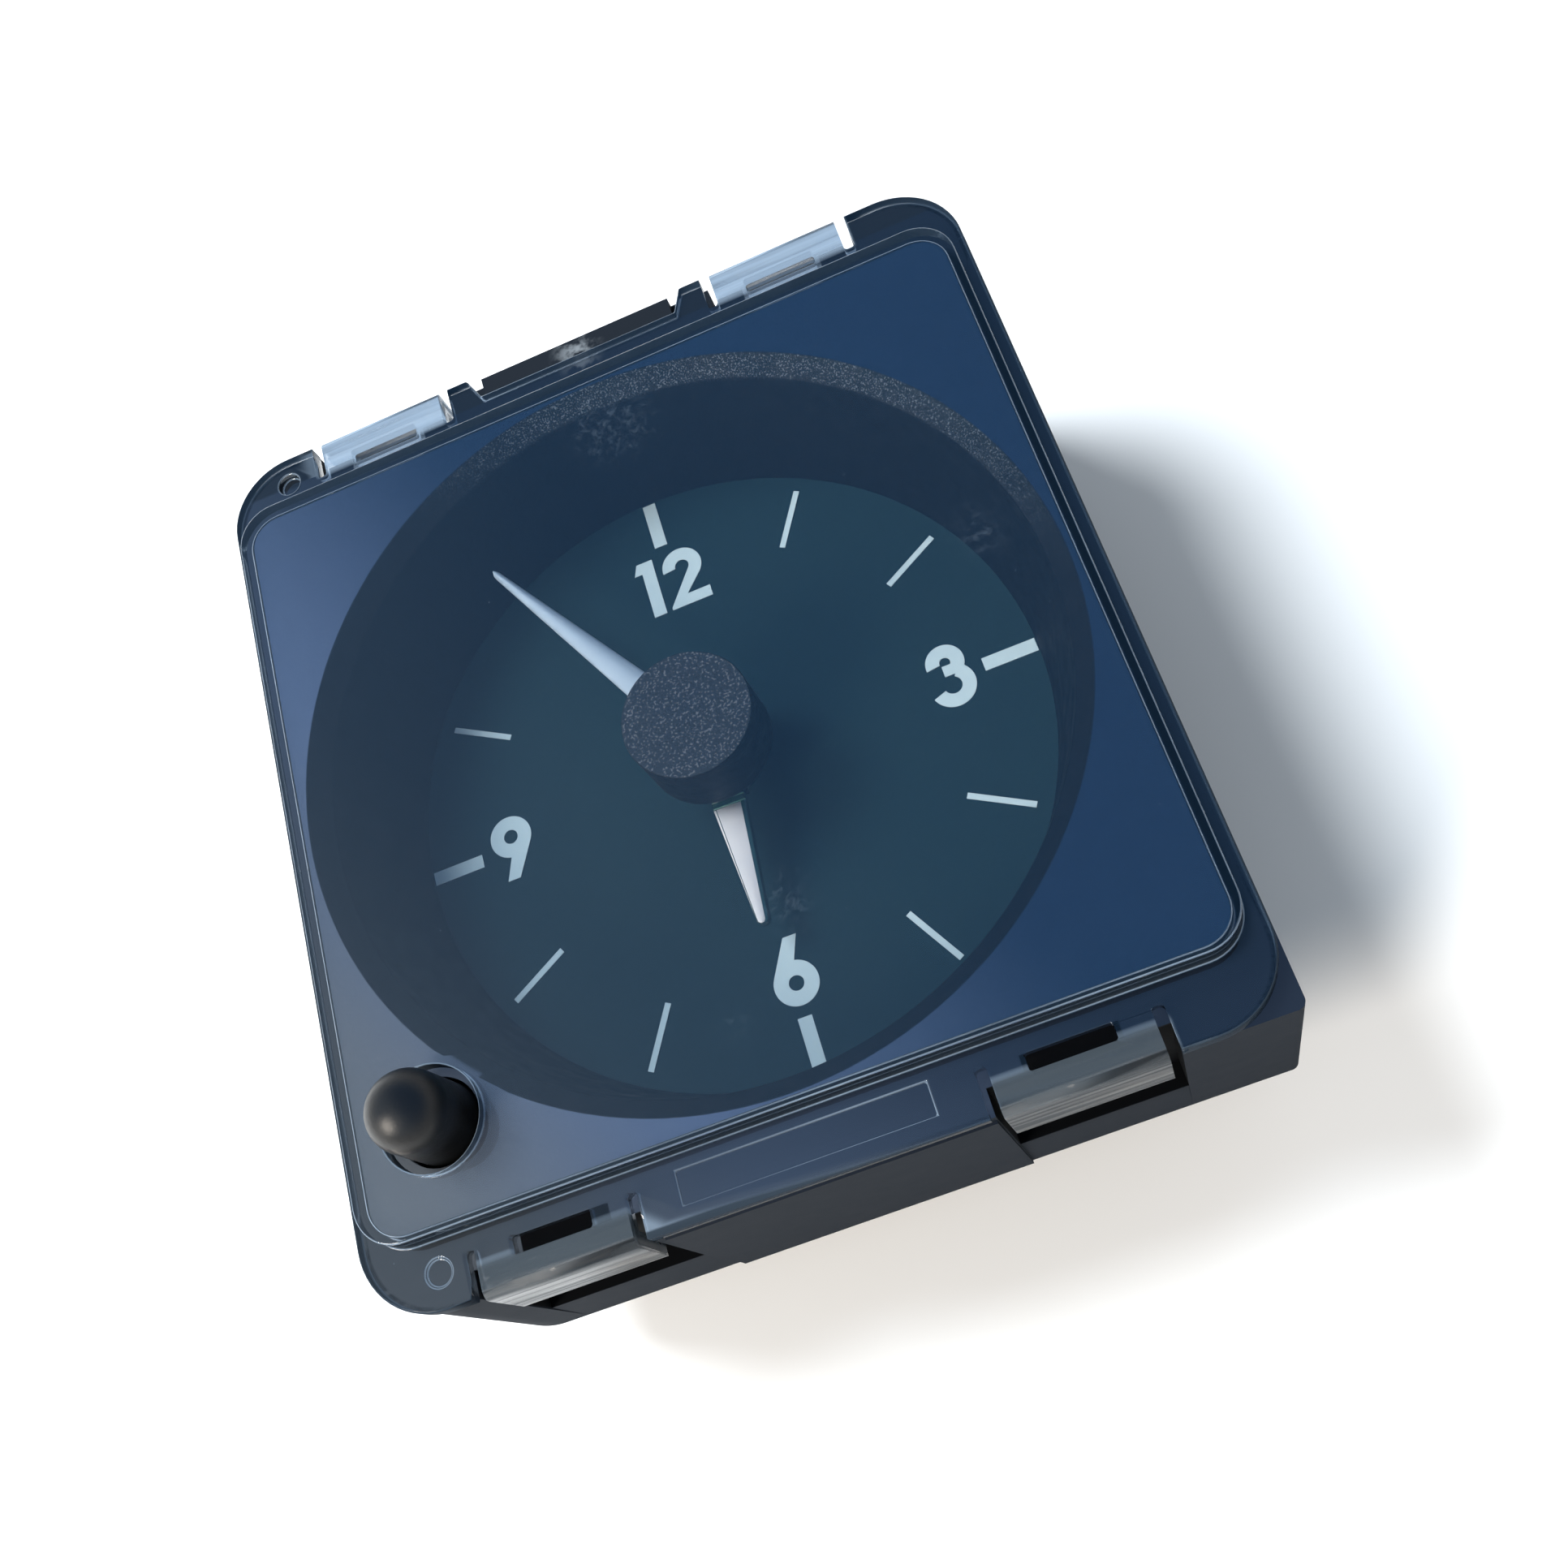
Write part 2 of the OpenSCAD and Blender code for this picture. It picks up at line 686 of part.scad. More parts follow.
module circuit_board() {
    color(board_green) difference() {
        round_box([-28.5, -26.5], [28.5, 26.5], 1.5, board_z, board_z + board_t);
        for (i = [-1.5:1.5])
            box([i * 3.6 - 0.95, socket_y - 0.4], [i * 3.6 + 0.95, socket_y + 0.4], 0, 50);
        for (sx = [-1, 1], sy = [-1, 1]) rod([sx * pillar_x, sy * pillar_y], 1.05, 0, 50);
    }
}

board_top = board_z + board_t;

// Metal can with a flange, standing on the board
module quartz_crystal() {
    color(steel) {
        round_box([-21, -23.6], [-10.2, -19], 2.2, board_top, board_top + 0.5);
        round_box([-20.5, -23.1], [-10.7, -19.5], 1.7, board_top, board_top + 3.6);
    }
}

module clock_ic() {
    ic_x = 2;
    ic_y = -21;
    color([0.08, 0.08, 0.09])
        box([ic_x - 2.5, ic_y - 2], [ic_x + 2.5, ic_y + 2], board_top + 0.2, board_top + 1.7);
    color(steel) for (i = [-1.5:1.5], side = [-1, 1]) {
        along_x(ic_x + i * 1.27 - 0.2, ic_x + i * 1.27 + 0.2) polygon([
            [ic_y + side * 1.9, board_top + 0.8], [ic_y + side * 2.6, board_top + 0.8],
            [ic_y + side * 2.7, board_top + 0.2], [ic_y + side * 3.2, board_top + 0.2],
            [ic_y + side * 3.2, board_top], [ic_y + side * 2.5, board_top],
            [ic_y + side * 2.4, board_top + 0.6], [ic_y + side * 1.9, board_top + 0.6]]);
    }
}

module capacitor() {
    color([0.12, 0.14, 0.30]) difference() {
        union() {
            rod([13, -20.5], 2.5, board_top + 0.3, board_top + 5.5);
            rod([13, -20.5], 2.2, board_top, board_top + 0.4);
        }
        for (turn = [0, 90]) translate([13, -20.5, board_top + 5.5]) rotate(turn)
            cube([3.2, 0.25, 0.3], center = true);
    }
}

// Axial resistors lying on the board
module resistors() {
    color([0.76, 0.66, 0.48]) for (i = [0:3]) {
        y = -4 + i * 5;
        translate([-23, y, board_top + 1]) rotate([0, 90, 0]) {
            translate([0, 0, -2]) cylinder(r = 0.8, h = 4);
            translate([0, 0, -2.2]) cylinder(r = 1, h = 1);
            translate([0, 0, 1.2]) cylinder(r = 1, h = 1);
        }
    }
    color(steel) for (i = [0:3], side = [-1, 1]) {
        y = -4 + i * 5;
        x = -23 + side * 3;
        box([min(x, -23 + side * 2), y - 0.25], [max(x, -23 + side * 2), y + 0.25],
            board_top + 0.75, board_top + 1.25);
        rod([x, y], 0.25, board_top, board_top + 1.25);
    }
}

module board_pillars() {
    color(brass) for (sx = [-1, 1], sy = [-1, 1])
        tube([sx * pillar_x, sy * pillar_y], 1, 2, board_top, front_plate_z);
}

module board_screws() {
    color(steel) for (sx = [-1, 1], sy = [-1, 1])
        screw_up([sx * pillar_x, sy * pillar_y], board_z, 1, 5, 1.7, 1.1);
}

// ---- Movement plates ----

plate_posts = [[-13, -11], [-13, 19], [25.5, -11]];

module front_plate() {
    color([0.20, 0.21, 0.22]) difference() {
        union() {
            round_box([-31, -31], [31, 31], 4, front_plate_z, front_plate_top);
            for (side = [-1, 1], y = ear_ys)
                round_box([side * ear_x - 3.4, y - 3], [side * ear_x + 3.4, y + 3], 1.5,
                    front_plate_z, front_plate_top);
        }
        for (side = [-1, 1], y = ear_ys) rod([side * ear_x, y], 1.1, 0, 50);
        rod([0, 0], 1.5, 0, 50);
        for (at = [third_at, rotor_at]) rod(at, 0.36, 0, 50);
        rod(motion_at, 0.6, 0, 50);
        rod(idler_at, 0.8, 0, 50);
        // Relief holes that lighten the plate
        for (at = [[12, -22], [22, 0], [-20, 8], [0, 23]]) rod(at, 3.4, 0, 50);
    }
}

module front_plate_screws() {
    head_r = 1.9;
    color(steel) for (side = [-1, 1], y = ear_ys) translate([side * ear_x, y, 0]) {
        difference() {
            union() {
                rod([0, 0], head_r, front_plate_top, front_plate_top + 1.2);
                rod([0, 0], 0.9, floor_z - 0.4, front_plate_top + eps);
            }
            for (turn = [0, 90]) translate([0, 0, front_plate_top + 1.2]) rotate(turn)
                cube([2.4, 0.6, 1.1], center = true);
        }
    }
}

module rear_plate() {
    color([0.20, 0.21, 0.22]) difference() {
        round_box([-16.5, -14.5], [28.5, 21.7], 3, rear_plate_z, rear_plate_z + plate_t);
        rod([0, 0], shaft_r + run_gap, 0, 50);
        for (at = [third_at, rotor_at]) rod(at, 0.36, 0, 50);
        for (at = plate_posts) rod(at, 1.05, 0, 50);
        for (at = [[-8, 10], [10, -8]]) rod(at, 2.6, 0, 50);
    }
}

module plate_pillars() {
    color(brass) for (at = plate_posts) tube(at, 1, 1.9, rear_plate_z + plate_t, front_plate_z);
}

module plate_screws() {
    color(steel) for (at = plate_posts) screw_up(at, rear_plate_z, 1, 4, 1.7, 1);
}

// ---- Stepping motor ----

coil_x = rotor_at[0] + 11;
coil_y = rotor_at[1] - 3.6;
coil_half = 8;
coil_r = 1.7;
core_z = 16;
core_t = 0.7;
magnet_r = 2.5;
stator_hole_r = 2.9;

module stator() {
    block = 5;
    near = coil_half + 0.2;
    x = rotor_at[0];
    y = rotor_at[1];
    color([0.55, 0.56, 0.58]) difference() {
        translate([0, 0, core_z + core_t]) linear_extrude(core_t) union() {
            translate([x - block, y - block]) square(2 * block);
            translate([x - 1, coil_y + near]) square([coil_x - x + 2.4, 2.5]);
            translate([x + 1, coil_y - near - 2.5]) square([2.6, y - coil_y + near + 2.5 - block + 1]);
            translate([x + 1, coil_y - near - 2.5]) square([coil_x - x + 0.4, 2.5]);
        }
        rod(rotor_at, stator_hole_r, 0, 50);
        // Narrow necks between the two poles
        for (side = [-1, 1]) rod([x + side * (block + 0.6), y], 2, 0, 50);
    }
}

module coil_core() {
    color([0.50, 0.51, 0.53])
        box([coil_x - 1.2, coil_y - coil_half - 2.4], [coil_x + 1.2, coil_y + coil_half + 2.4],
            core_z, core_z + core_t);
}

module coil_shape(r, half, z) {
    translate([coil_x, coil_y + half, z]) rotate([90, 0, 0]) cylinder(r = r, h = 2 * half);
}

coil_z = core_z + core_t / 2;

module coil_bobbin() {
    color([0.85, 0.84, 0.78]) difference() {
        union() {
            coil_shape(1.45, coil_half - 0.2, coil_z);
            for (side = [-1, 1]) translate([0, side * (coil_half - 0.6), 0])
                coil_shape(coil_r + 0.15, 0.4, coil_z);
        }
        box([coil_x - 1.2, coil_y - 20], [coil_x + 1.2, coil_y + 20], core_z, core_z + core_t);
    }
}

module coil_winding() {
    color(copper) difference() {
        coil_shape(coil_r, coil_half - 1, coil_z);
        coil_shape(1.45, 30, coil_z);
    }
}

// ---- Static shafts and bushes ----

module centre_bush() {
    color(brass) {
        tube([0, 0], shaft_r + run_gap, 1.5, rear_plate_z + plate_t + 3.8, front_plate_top);
        tube([0, 0], shaft_r + run_gap, 2.2, front_plate_z - 0.5, front_plate_z);
    }
}

module motion_stud() {
    color(steel) {
        rod(motion_at, 0.6, front_plate_z, front_plate_top + eps);
        rod(motion_at, 0.7, front_plate_top, 22);
    }
}

module idler_stud() {
    color(steel) {
        rod(idler_at, 0.8, front_plate_z, front_plate_top + eps);
        rod(idler_at, 1, front_plate_top, motion_z + motion_t + 0.15);
        rod(idler_at, 1.8, motion_z + motion_t + 0.15, motion_z + motion_t + 0.75);
    }
}

module knob_bush() {
    color([0.82, 0.82, 0.78]) {
        tube(knob_at, stem_r + run_gap, 2.4, bush_z, bush_top_z);
        tube(knob_at, stem_r + run_gap, 3.2, shelf_z + 2, bush_top_z);
    }
}

// Compression spring under the knob, as the sleeve that its coils fill
module knob_spring() {
    color(steel) tube(knob_at, 2.3, 3, bush_top_z, knob_base_z - 0.6);
}

// ---- Minute hand's parts ----

module minute_shaft() {
    color(steel) rod([0, 0], shaft_r, rear_plate_z - 0.6, cap_top_z - 1.4);
}

module centre_wheel() {
    color(brass) difference() {
        gear([0, 0], centre_module, centre_n, centre_wheel_z, train_t, 0, shaft_r);
        web_holes([0, 0], 5, 5.2, 1.9, centre_wheel_z, train_t);
    }
    color(brass) tube([0, 0], shaft_r, 1.5, centre_wheel_z - 0.5, centre_wheel_z + eps);
}

module cannon_pinion() {
    color(brass) gear([0, 0], motion_module, cannon_n, motion_z, 1.1, 0, shaft_r);
}

// Tapered bar with a round tip, from radius r0 to the tip, along +Y
module hand_shape(r0, len, w0, w1) {
    tip = w1 / 2;
    polygon([[-w0 / 2, r0], [w0 / 2, r0], [tip, len - tip], [-tip, len - tip]]);
    translate([0, len - tip]) circle(tip);
}

minute_turn = -6 * minutes;

module minute_hand() {
    color(hand_white) difference() {
        union() {
            translate([0, 0, minute_z]) rotate(minute_turn) linear_extrude(hand_t)
                hand_shape(2, minute_len, 3.7, 0.75);
            rod([0, 0], 3.6, cap_bottom_z + 0.3, minute_z + hand_t);
        }
        rod([0, 0], shaft_r, 0, 50);
    }
}

module hub_cap() {
    color(black_abs) difference() {
        rod([0, 0], cap_r, cap_bottom_z, cap_top_z);
        rod([0, 0], cap_r - 0.9, cap_bottom_z - 1, cap_top_z - 1.4);
        translate([0, 0, minute_z - 0.05]) rotate(minute_turn) linear_extrude(hand_t + 0.1)
            polygon([[-1.9, 3], [1.9, 3], [1.8, cap_r + 1], [-1.8, cap_r + 1]]);
    }
}

// ---- Hour hand's parts ----

module hour_wheel() {
    color(brass) difference() {
        union() {
            gear([0, 0], hour_module, hour_n, hour_wheel_z, 0.8, hour_turn, shaft_r + run_gap);
            rod([0, 0], tube_r, hour_wheel_z, hour_z + hand_t + 0.6);
        }
        rod([0, 0], shaft_r + run_gap, 0, 50);
        web_holes([0, 0], 5, 4.7, 1.5, hour_wheel_z, 0.8);
    }
}

module hour_hub() {
    color(black_abs) difference() {
        union() {
            rod([0, 0], 4.8, hour_z - 1.2, cap_bottom_z - 0.3);
            // Neck that grips the hand's root
            translate([0, 0, hour_z - 0.5]) rotate(-hour_angle) linear_extrude(hand_t + 0.95)
                polygon([[-2.15, 3.5], [2.15, 3.5], [1.9, 5.3], [-1.9, 5.3]]);
        }
        rod([0, 0], tube_r, 0, 50);
        translate([0, 0, hour_z]) rotate(-hour_angle) linear_extrude(hand_t)
            polygon([[-1.8, 2], [1.8, 2], [1.52, 6], [-1.52, 6]]);
    }
}

module hour_hand() {
    color(hand_white) translate([0, 0, hour_z]) rotate(-hour_angle) linear_extrude(hand_t)
        hand_shape(2.2, hour_len, 3.5, 1);
}

// ---- Other wheels ----

module motion_wheel() {
    color(milky) difference() {
        union() {
            gear(motion_at, motion_module, motion_n, motion_z, motion_t, motion_turn, 0.75);
            gear(motion_at, hour_module, motion_pinion_n, motion_z + motion_t - eps, 1.15, 0, 0.75, 0.02);
        }
        web_holes(motion_at, 4, 4.6, 1.5, motion_z, motion_t);
    }
}

module setting_idler() {
    color(milky) difference() {
        gear(idler_at, motion_module, idler_n, motion_z, motion_t, idler_turn, 1.05);
        web_holes(idler_at, 6, 6, 1.9, motion_z, motion_t);
    }
}

module third_wheel() {
    top = centre_wheel_z + train_t + 0.3;
    color(brass) difference() {
        gear(third_at, rotor_module, third_n, third_wheel_z, train_t, 0, 0.3);
        web_holes(third_at, 5, 4.6, 1.5, third_wheel_z, train_t);
    }
    color(steel) {
        gear(third_at, centre_module, third_pinion_n, third_wheel_z + train_t - eps,
            top - third_wheel_z - train_t, third_turn, 0.3);
        rod(third_at, 0.31, rear_plate_z, front_plate_top);
    }
}

module rotor_pinion() {
    color(steel) {
        gear(rotor_at, rotor_module, rotor_n, third_wheel_z - 0.1, train_t + 0.2, rotor_turn, 0.2);
        rod(rotor_at, 0.31, rear_plate_z, front_plate_top);
    }
}

module rotor_magnet() {
    color([0.25, 0.25, 0.27])
        tube(rotor_at, 0.31, magnet_r, core_z + core_t - 0.3, core_z + 2 * core_t + 0.3);
}

// ---- Set knob's parts ----

module spring_seat() {
    color(steel) tube(knob_at, stem_r + run_gap, 3.2, knob_base_z - 0.6, knob_base_z - 0.1);
}

module set_knob() {
    color(black_abs) difference() {
        union() {
            rod(knob_at, knob_r, knob_base_z, knob_dome_z);
            intersection() {
                translate([knob_at[0], knob_at[1], knob_dome_z]) sphere(knob_r);
                rod(knob_at, knob_r + 1, knob_dome_z - eps, knob_dome_z + knob_r + 1);
            }
        }
        rod(knob_at, stem_r, knob_base_z - 1, knob_dome_z - 2);
    }
}

module knob_shaft() {
    color([0.75, 0.75, 0.72]) rod(knob_at, stem_r, disc_z + 0.3, knob_dome_z - 2);
}

module knob_clip() {
    color(steel) difference() {
        tube(knob_at, stem_r, 3, bush_z - 0.8, bush_z - 0.2);
        box([knob_at[0] - 0.6, knob_at[1] + stem_r + 0.3], [knob_at[0] + 0.6, knob_at[1] + 4], 0, 50);
    }
}

module friction_disc() {
    color([0.15, 0.14, 0.13]) {
        difference() {
            rod(knob_at, disc_r, disc_z, disc_z + 1.5);
            rod(knob_at, stem_r, disc_z + 0.3, disc_z + 5);
        }
    }
}

housing();
lens();
mask();
dial();
dial_markings();
light_guide();
rear_cover();
cover_screws();
mount_inserts();
bulb_holders();
bulbs();
connector_shroud();
terminals();
circuit_board();
quartz_crystal();
clock_ic();
capacitor();
resistors();
board_pillars();
board_screws();
front_plate();
front_plate_screws();
rear_plate();
plate_pillars();
plate_screws();
stator();
coil_core();
coil_bobbin();
coil_winding();
centre_bush();
motion_stud();
idler_stud();
knob_bush();
knob_spring();
minute_shaft();
centre_wheel();
cannon_pinion();
minute_hand();
hub_cap();
hour_wheel();
hour_hub();
hour_hand();
motion_wheel();
setting_idler();
third_wheel();
rotor_pinion();
rotor_magnet();
spring_seat();
set_knob();
knob_shaft();
knob_clip();
friction_disc();
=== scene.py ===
"""Looks of a dashboard clock module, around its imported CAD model. Metres, in the row frame."""

import json
import math

import bmesh
import bpy
from mathutils import Matrix, Vector


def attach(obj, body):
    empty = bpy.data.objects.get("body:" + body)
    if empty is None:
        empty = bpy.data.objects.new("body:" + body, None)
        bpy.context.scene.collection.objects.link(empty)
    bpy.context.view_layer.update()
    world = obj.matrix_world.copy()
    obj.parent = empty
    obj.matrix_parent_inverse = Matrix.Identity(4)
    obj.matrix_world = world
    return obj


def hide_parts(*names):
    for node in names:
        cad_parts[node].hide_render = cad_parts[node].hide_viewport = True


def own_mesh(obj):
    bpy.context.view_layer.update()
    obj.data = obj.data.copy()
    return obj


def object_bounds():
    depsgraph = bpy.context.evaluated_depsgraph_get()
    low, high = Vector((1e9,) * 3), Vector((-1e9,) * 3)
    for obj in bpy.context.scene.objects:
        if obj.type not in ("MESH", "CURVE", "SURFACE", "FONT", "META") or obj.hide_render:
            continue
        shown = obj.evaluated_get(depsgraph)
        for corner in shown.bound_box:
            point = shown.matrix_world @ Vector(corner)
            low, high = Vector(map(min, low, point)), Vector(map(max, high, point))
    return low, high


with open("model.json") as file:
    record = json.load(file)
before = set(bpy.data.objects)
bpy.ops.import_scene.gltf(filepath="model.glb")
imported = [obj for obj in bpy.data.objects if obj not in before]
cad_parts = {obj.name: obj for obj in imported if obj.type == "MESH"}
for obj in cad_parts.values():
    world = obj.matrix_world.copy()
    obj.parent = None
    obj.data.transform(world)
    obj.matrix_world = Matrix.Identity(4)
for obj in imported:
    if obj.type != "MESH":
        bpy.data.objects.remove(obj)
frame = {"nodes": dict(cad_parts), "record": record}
cad_low, cad_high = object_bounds()
NODES = frame["nodes"]
MM = 0.001


def node_span(name, axis):
    """Lowest and highest coordinate of a node along an axis, in millimetres."""
    values = [vertex.co[axis] / MM for vertex in NODES[name].data.vertices]
    return min(values), max(values)


def node_tip(name):
    """Length and clockwise angle from 12 o'clock of a hand, from its outermost point."""
    tip = max(NODES[name].data.vertices, key=lambda vertex: vertex.co.xy.length).co
    return tip.xy.length / MM, math.atan2(tip.x, tip.y)


# Places on the front, in millimetres.
LENS_TOP = node_span("lens", 2)[1]
FLANGE_Z = LENS_TOP - 2.6
KNOB_LEFT, KNOB_RIGHT = node_span("set_knob", 0)
KNOB_X = (KNOB_LEFT + KNOB_RIGHT) / 2
KNOB_Y = sum(node_span("set_knob", 1)) / 2
KNOB_HOLE = (KNOB_RIGHT - KNOB_LEFT) / 2 + 1.0  # radius
CLIP_X = 22.1  # each clip's centre
WINDOW_HALF = 4.1  # half the width of the window in front of a clip
WINDOW_IN = 4.2  # from the plate's edge to the window
PLATE_HALF = 40.0
PLATE_TOP = 45.2
PLATE_BOTTOM = 44.0
PLATE_CORNER = 7.0  # radius

# ---- Camera ----

CAMERA_AT = Vector((0.02542, -0.06948, 0.16628))
CAMERA_AXES = (
    Vector((0.9237, -0.2769, -0.2646)),
    Vector((0.3595, 0.8653, 0.3494)),
    Vector((0.1322, -0.4179, 0.8988)),
)
SENSOR_MM = 36.0
LENS_MM = 36.97

camera_data = bpy.data.cameras.new("camera")
camera_data.sensor_width = SENSOR_MM
camera_data.lens = LENS_MM
camera_data.clip_start = 0.005
camera_data.clip_end = 20
camera = bpy.data.objects.new("camera", camera_data)
bpy.context.scene.collection.objects.link(camera)
turn = Matrix([[axis[i] for axis in CAMERA_AXES] for i in range(3)])
camera.matrix_world = Matrix.Translation(CAMERA_AT) @ turn.to_4x4()
bpy.context.scene.camera = camera
bpy.context.scene.view_settings.view_transform = "Standard"
bpy.context.scene.view_settings.look = "None"


# ---- Material helpers ----


class Tree:
    """A material's node tree, with short calls for the nodes that most of them use."""

    def __init__(self, name):
        self.material = bpy.data.materials.new(name)
        self.material.use_nodes = True
        self.tree = self.material.node_tree
        self.tree.nodes.clear()
        self.out = self.tree.nodes.new("ShaderNodeOutputMaterial")
        spot = self.tree.nodes.new("ShaderNodeTexCoord")
        self.coord = spot.outputs["Object"]
        self.normal = spot.outputs["Normal"]

    def add(self, kind, **inputs):
        node = self.tree.nodes.new("ShaderNode" + kind)
        for key, value in inputs.items():
            self.put(node.inputs[key.replace("_", " ")], value)
        return node

    def put(self, socket, value):
        if isinstance(value, bpy.types.NodeSocket):
            self.tree.links.new(value, socket)
        else:
            socket.default_value = value

    def noise(self, scale, detail=3.0, rough=0.55, distort=0.0, vector=None):
        node = self.add("TexNoise", Scale=scale, Detail=detail, Roughness=rough, Distortion=distort)
        self.put(node.inputs["Vector"], vector or self.coord)
        return node.outputs["Fac"]

    def cells(self, scale):
        node = self.add("TexVoronoi", Scale=scale)
        self.put(node.inputs["Vector"], self.coord)
        return node.outputs["Distance"]

    def span(self, value, a, b, low, high, smooth=False):
        """Goes from low at a to high at b, and stays level beyond them."""
        node = self.add("MapRange", Value=value, From_Min=a, From_Max=b, To_Min=low, To_Max=high)
        if smooth:
            node.interpolation_type = "SMOOTHSTEP"
        return node.outputs[0]

    def band(self, value, rise, fall, smooth=False):
        """1 between two ramps, each given by where it starts and ends, in millimetres."""
        up = self.span(value, rise[0] * MM, rise[1] * MM, 0.0, 1.0, smooth)
        return self.times(up, self.span(value, fall[0] * MM, fall[1] * MM, 1.0, 0.0, smooth))

    def inverse(self, value):
        return self.span(value, 0.0, 1.0, 1.0, 0.0)

    def math(self, operation, a, b=0.0):
        node = self.tree.nodes.new("ShaderNodeMath")
        node.operation = operation
        self.put(node.inputs[0], a)
        self.put(node.inputs[1], b)
        return node.outputs[0]

    def mix(self, factor, a, b):
        node = self.tree.nodes.new("ShaderNodeMix")
        node.data_type = "RGBA"
        self.put(node.inputs["Factor"], factor)
        self.put(node.inputs["A"], a)
        self.put(node.inputs["B"], b)
        return node.outputs["Result"]

    def bump(self, height, strength, distance):
        return self.add("Bump", Strength=strength, Distance=distance, Height=height).outputs[0]

    def axis(self, name, source=None):
        node = self.tree.nodes.new("ShaderNodeSeparateXYZ")
        self.put(node.inputs[0], source or self.coord)
        return node.outputs[name]

    def facing_up(self):
        """How level the surface is: 1 on flat faces, 0 on upright ones."""
        return self.math("ABSOLUTE", self.axis("Z", self.normal))

    def times(self, *values):
        product = values[0]
        for value in values[1:]:
            product = self.math("MULTIPLY", product, value)
        return product

    def length(self, dx, dy):
        return self.math("SQRT", self.math("ADD", self.times(dx, dx), self.times(dy, dy)))

    def near(self, x, y, z, radius):
        """1 at a point and 0 from the radius outwards, in millimetres."""
        away = self.add("VectorMath")
        away.operation = "DISTANCE"
        self.put(away.inputs[0], self.coord)
        away.inputs[1].default_value = (x * MM, y * MM, z * MM)
        return self.span(away.outputs["Value"], 0.0, radius * MM, 1.0, 0.0, smooth=True)

    def ring(self, x, y, inner, outer):
        """1 between two radii around an upright axis, in millimetres."""
        dx = self.math("SUBTRACT", self.axis("X"), x * MM)
        dy = self.math("SUBTRACT", self.axis("Y"), y * MM)
        return self.band(self.length(dx, dy), (inner - 0.05, inner), (outer, outer + 0.05))

    def blend(self, factor, first, second):
        """The first shader where the factor is 0, and the second where it is 1."""
        mix = self.tree.nodes.new("ShaderNodeMixShader")
        self.put(mix.inputs[0], factor)
        self.tree.links.new(first.outputs[0], mix.inputs[1])
        self.tree.links.new(second.outputs[0], mix.inputs[2])
        return mix

    def finish(self, shader):
        self.tree.links.new(shader.outputs[0], self.out.inputs[0])
        return self.material


def rgb(r, g, b):
    return (r, g, b, 1.0)


def shade(colour, factor):
    return rgb(*(min(1.0, c * factor) for c in colour[:3]))


DUST = rgb(0.42, 0.40, 0.37)


def moulded(name, colour, rough=0.45, grain=3200.0, depth=0.04, spread=0.25, specular=0.5,
            ior=1.5, uneven=1.0, dust=0.0, coat=0.0, detail=None):
    """Moulded plastic: fine grain, uneven gloss, faint dust. detail(tree, base) recolours it."""
    t = Tree(name)
    cloud = t.noise(55.0, 4.0)
    base = t.mix(cloud, shade(colour, 1 - spread), shade(colour, 1 + spread))
    if dust:
        specks = t.span(t.noise(900.0, 6.0, 0.7), 0.60, 0.72, 0.0, dust, smooth=True)
        patches = t.span(t.noise(38.0, 3.0), 0.42, 0.68, 0.15, 1.0, smooth=True)
        base = t.mix(t.times(specks, patches), base, DUST)
    if detail:
        base = detail(t, base)
    smoothest = rough * (1 - 0.15 * uneven)
    roughest = min(1.0, rough * (1 + 0.18 * uneven))
    gloss = t.span(t.noise(420.0, 3.0), 0.3, 0.7, smoothest, roughest)
    fine = t.math("ADD", t.noise(grain, 2.0), t.times(t.cells(grain * 0.45), 0.5))
    shader = t.add("BsdfPrincipled", Base_Color=base, Roughness=gloss)
    shader.inputs["Specular IOR Level"].default_value = specular
    shader.inputs["IOR"].default_value = ior
    shader.inputs["Coat Weight"].default_value = coat
    shader.inputs["Coat Roughness"].default_value = 0.1
    t.put(shader.inputs["Normal"], t.bump(fine, 0.5, depth * MM))
    return t.finish(shader)


def metal(name, colour, rough=0.3, brush=None, grain=1500.0, depth=0.01, tarnish=0.2):
    """Worked metal: brushed or turned marks, uneven gloss and a little tarnish."""
    t = Tree(name)
    vector = t.coord
    if brush:
        node = t.add("Mapping", Scale=brush)
        t.put(node.inputs["Vector"], t.coord)
        vector = node.outputs[0]
    marks = t.noise(grain, 4.0, 0.65, vector=vector)
    cloud = t.span(t.noise(180.0, 4.0), 0.35, 0.7, 0.0, 1.0, smooth=True)
    base = t.mix(t.math("MULTIPLY", cloud, tarnish), rgb(*colour), shade(colour, 0.45))
    gloss = t.span(marks, 0.25, 0.75, rough * 0.7, min(1.0, rough * 1.4))
    shader = t.add("BsdfPrincipled", Base_Color=base, Roughness=gloss)
    shader.inputs["Metallic"].default_value = 1.0
    t.put(shader.inputs["Normal"], t.bump(marks, 0.35, depth * MM))
    return t.finish(shader)


def lets_light_in(t, shader, tint):
    """Lamps shine through clear plastic instead of leaving what is behind it dark."""
    path = t.tree.nodes.new("ShaderNodeLightPath")
    open_path = t.add("BsdfTransparent", Color=rgb(*tint))
    return t.blend(path.outputs["Is Shadow Ray"], shader, open_path)


def acrylic(t, tint):
    shader = t.add("BsdfPrincipled", Base_Color=rgb(*tint))
    shader.inputs["Transmission Weight"].default_value = 1.0
    shader.inputs["IOR"].default_value = 1.49
    shader.inputs["Roughness"].default_value = 0.01
    t.put(shader.inputs["Normal"], t.bump(t.noise(110.0, 2.0), 0.05, 0.02 * MM))
    return shader


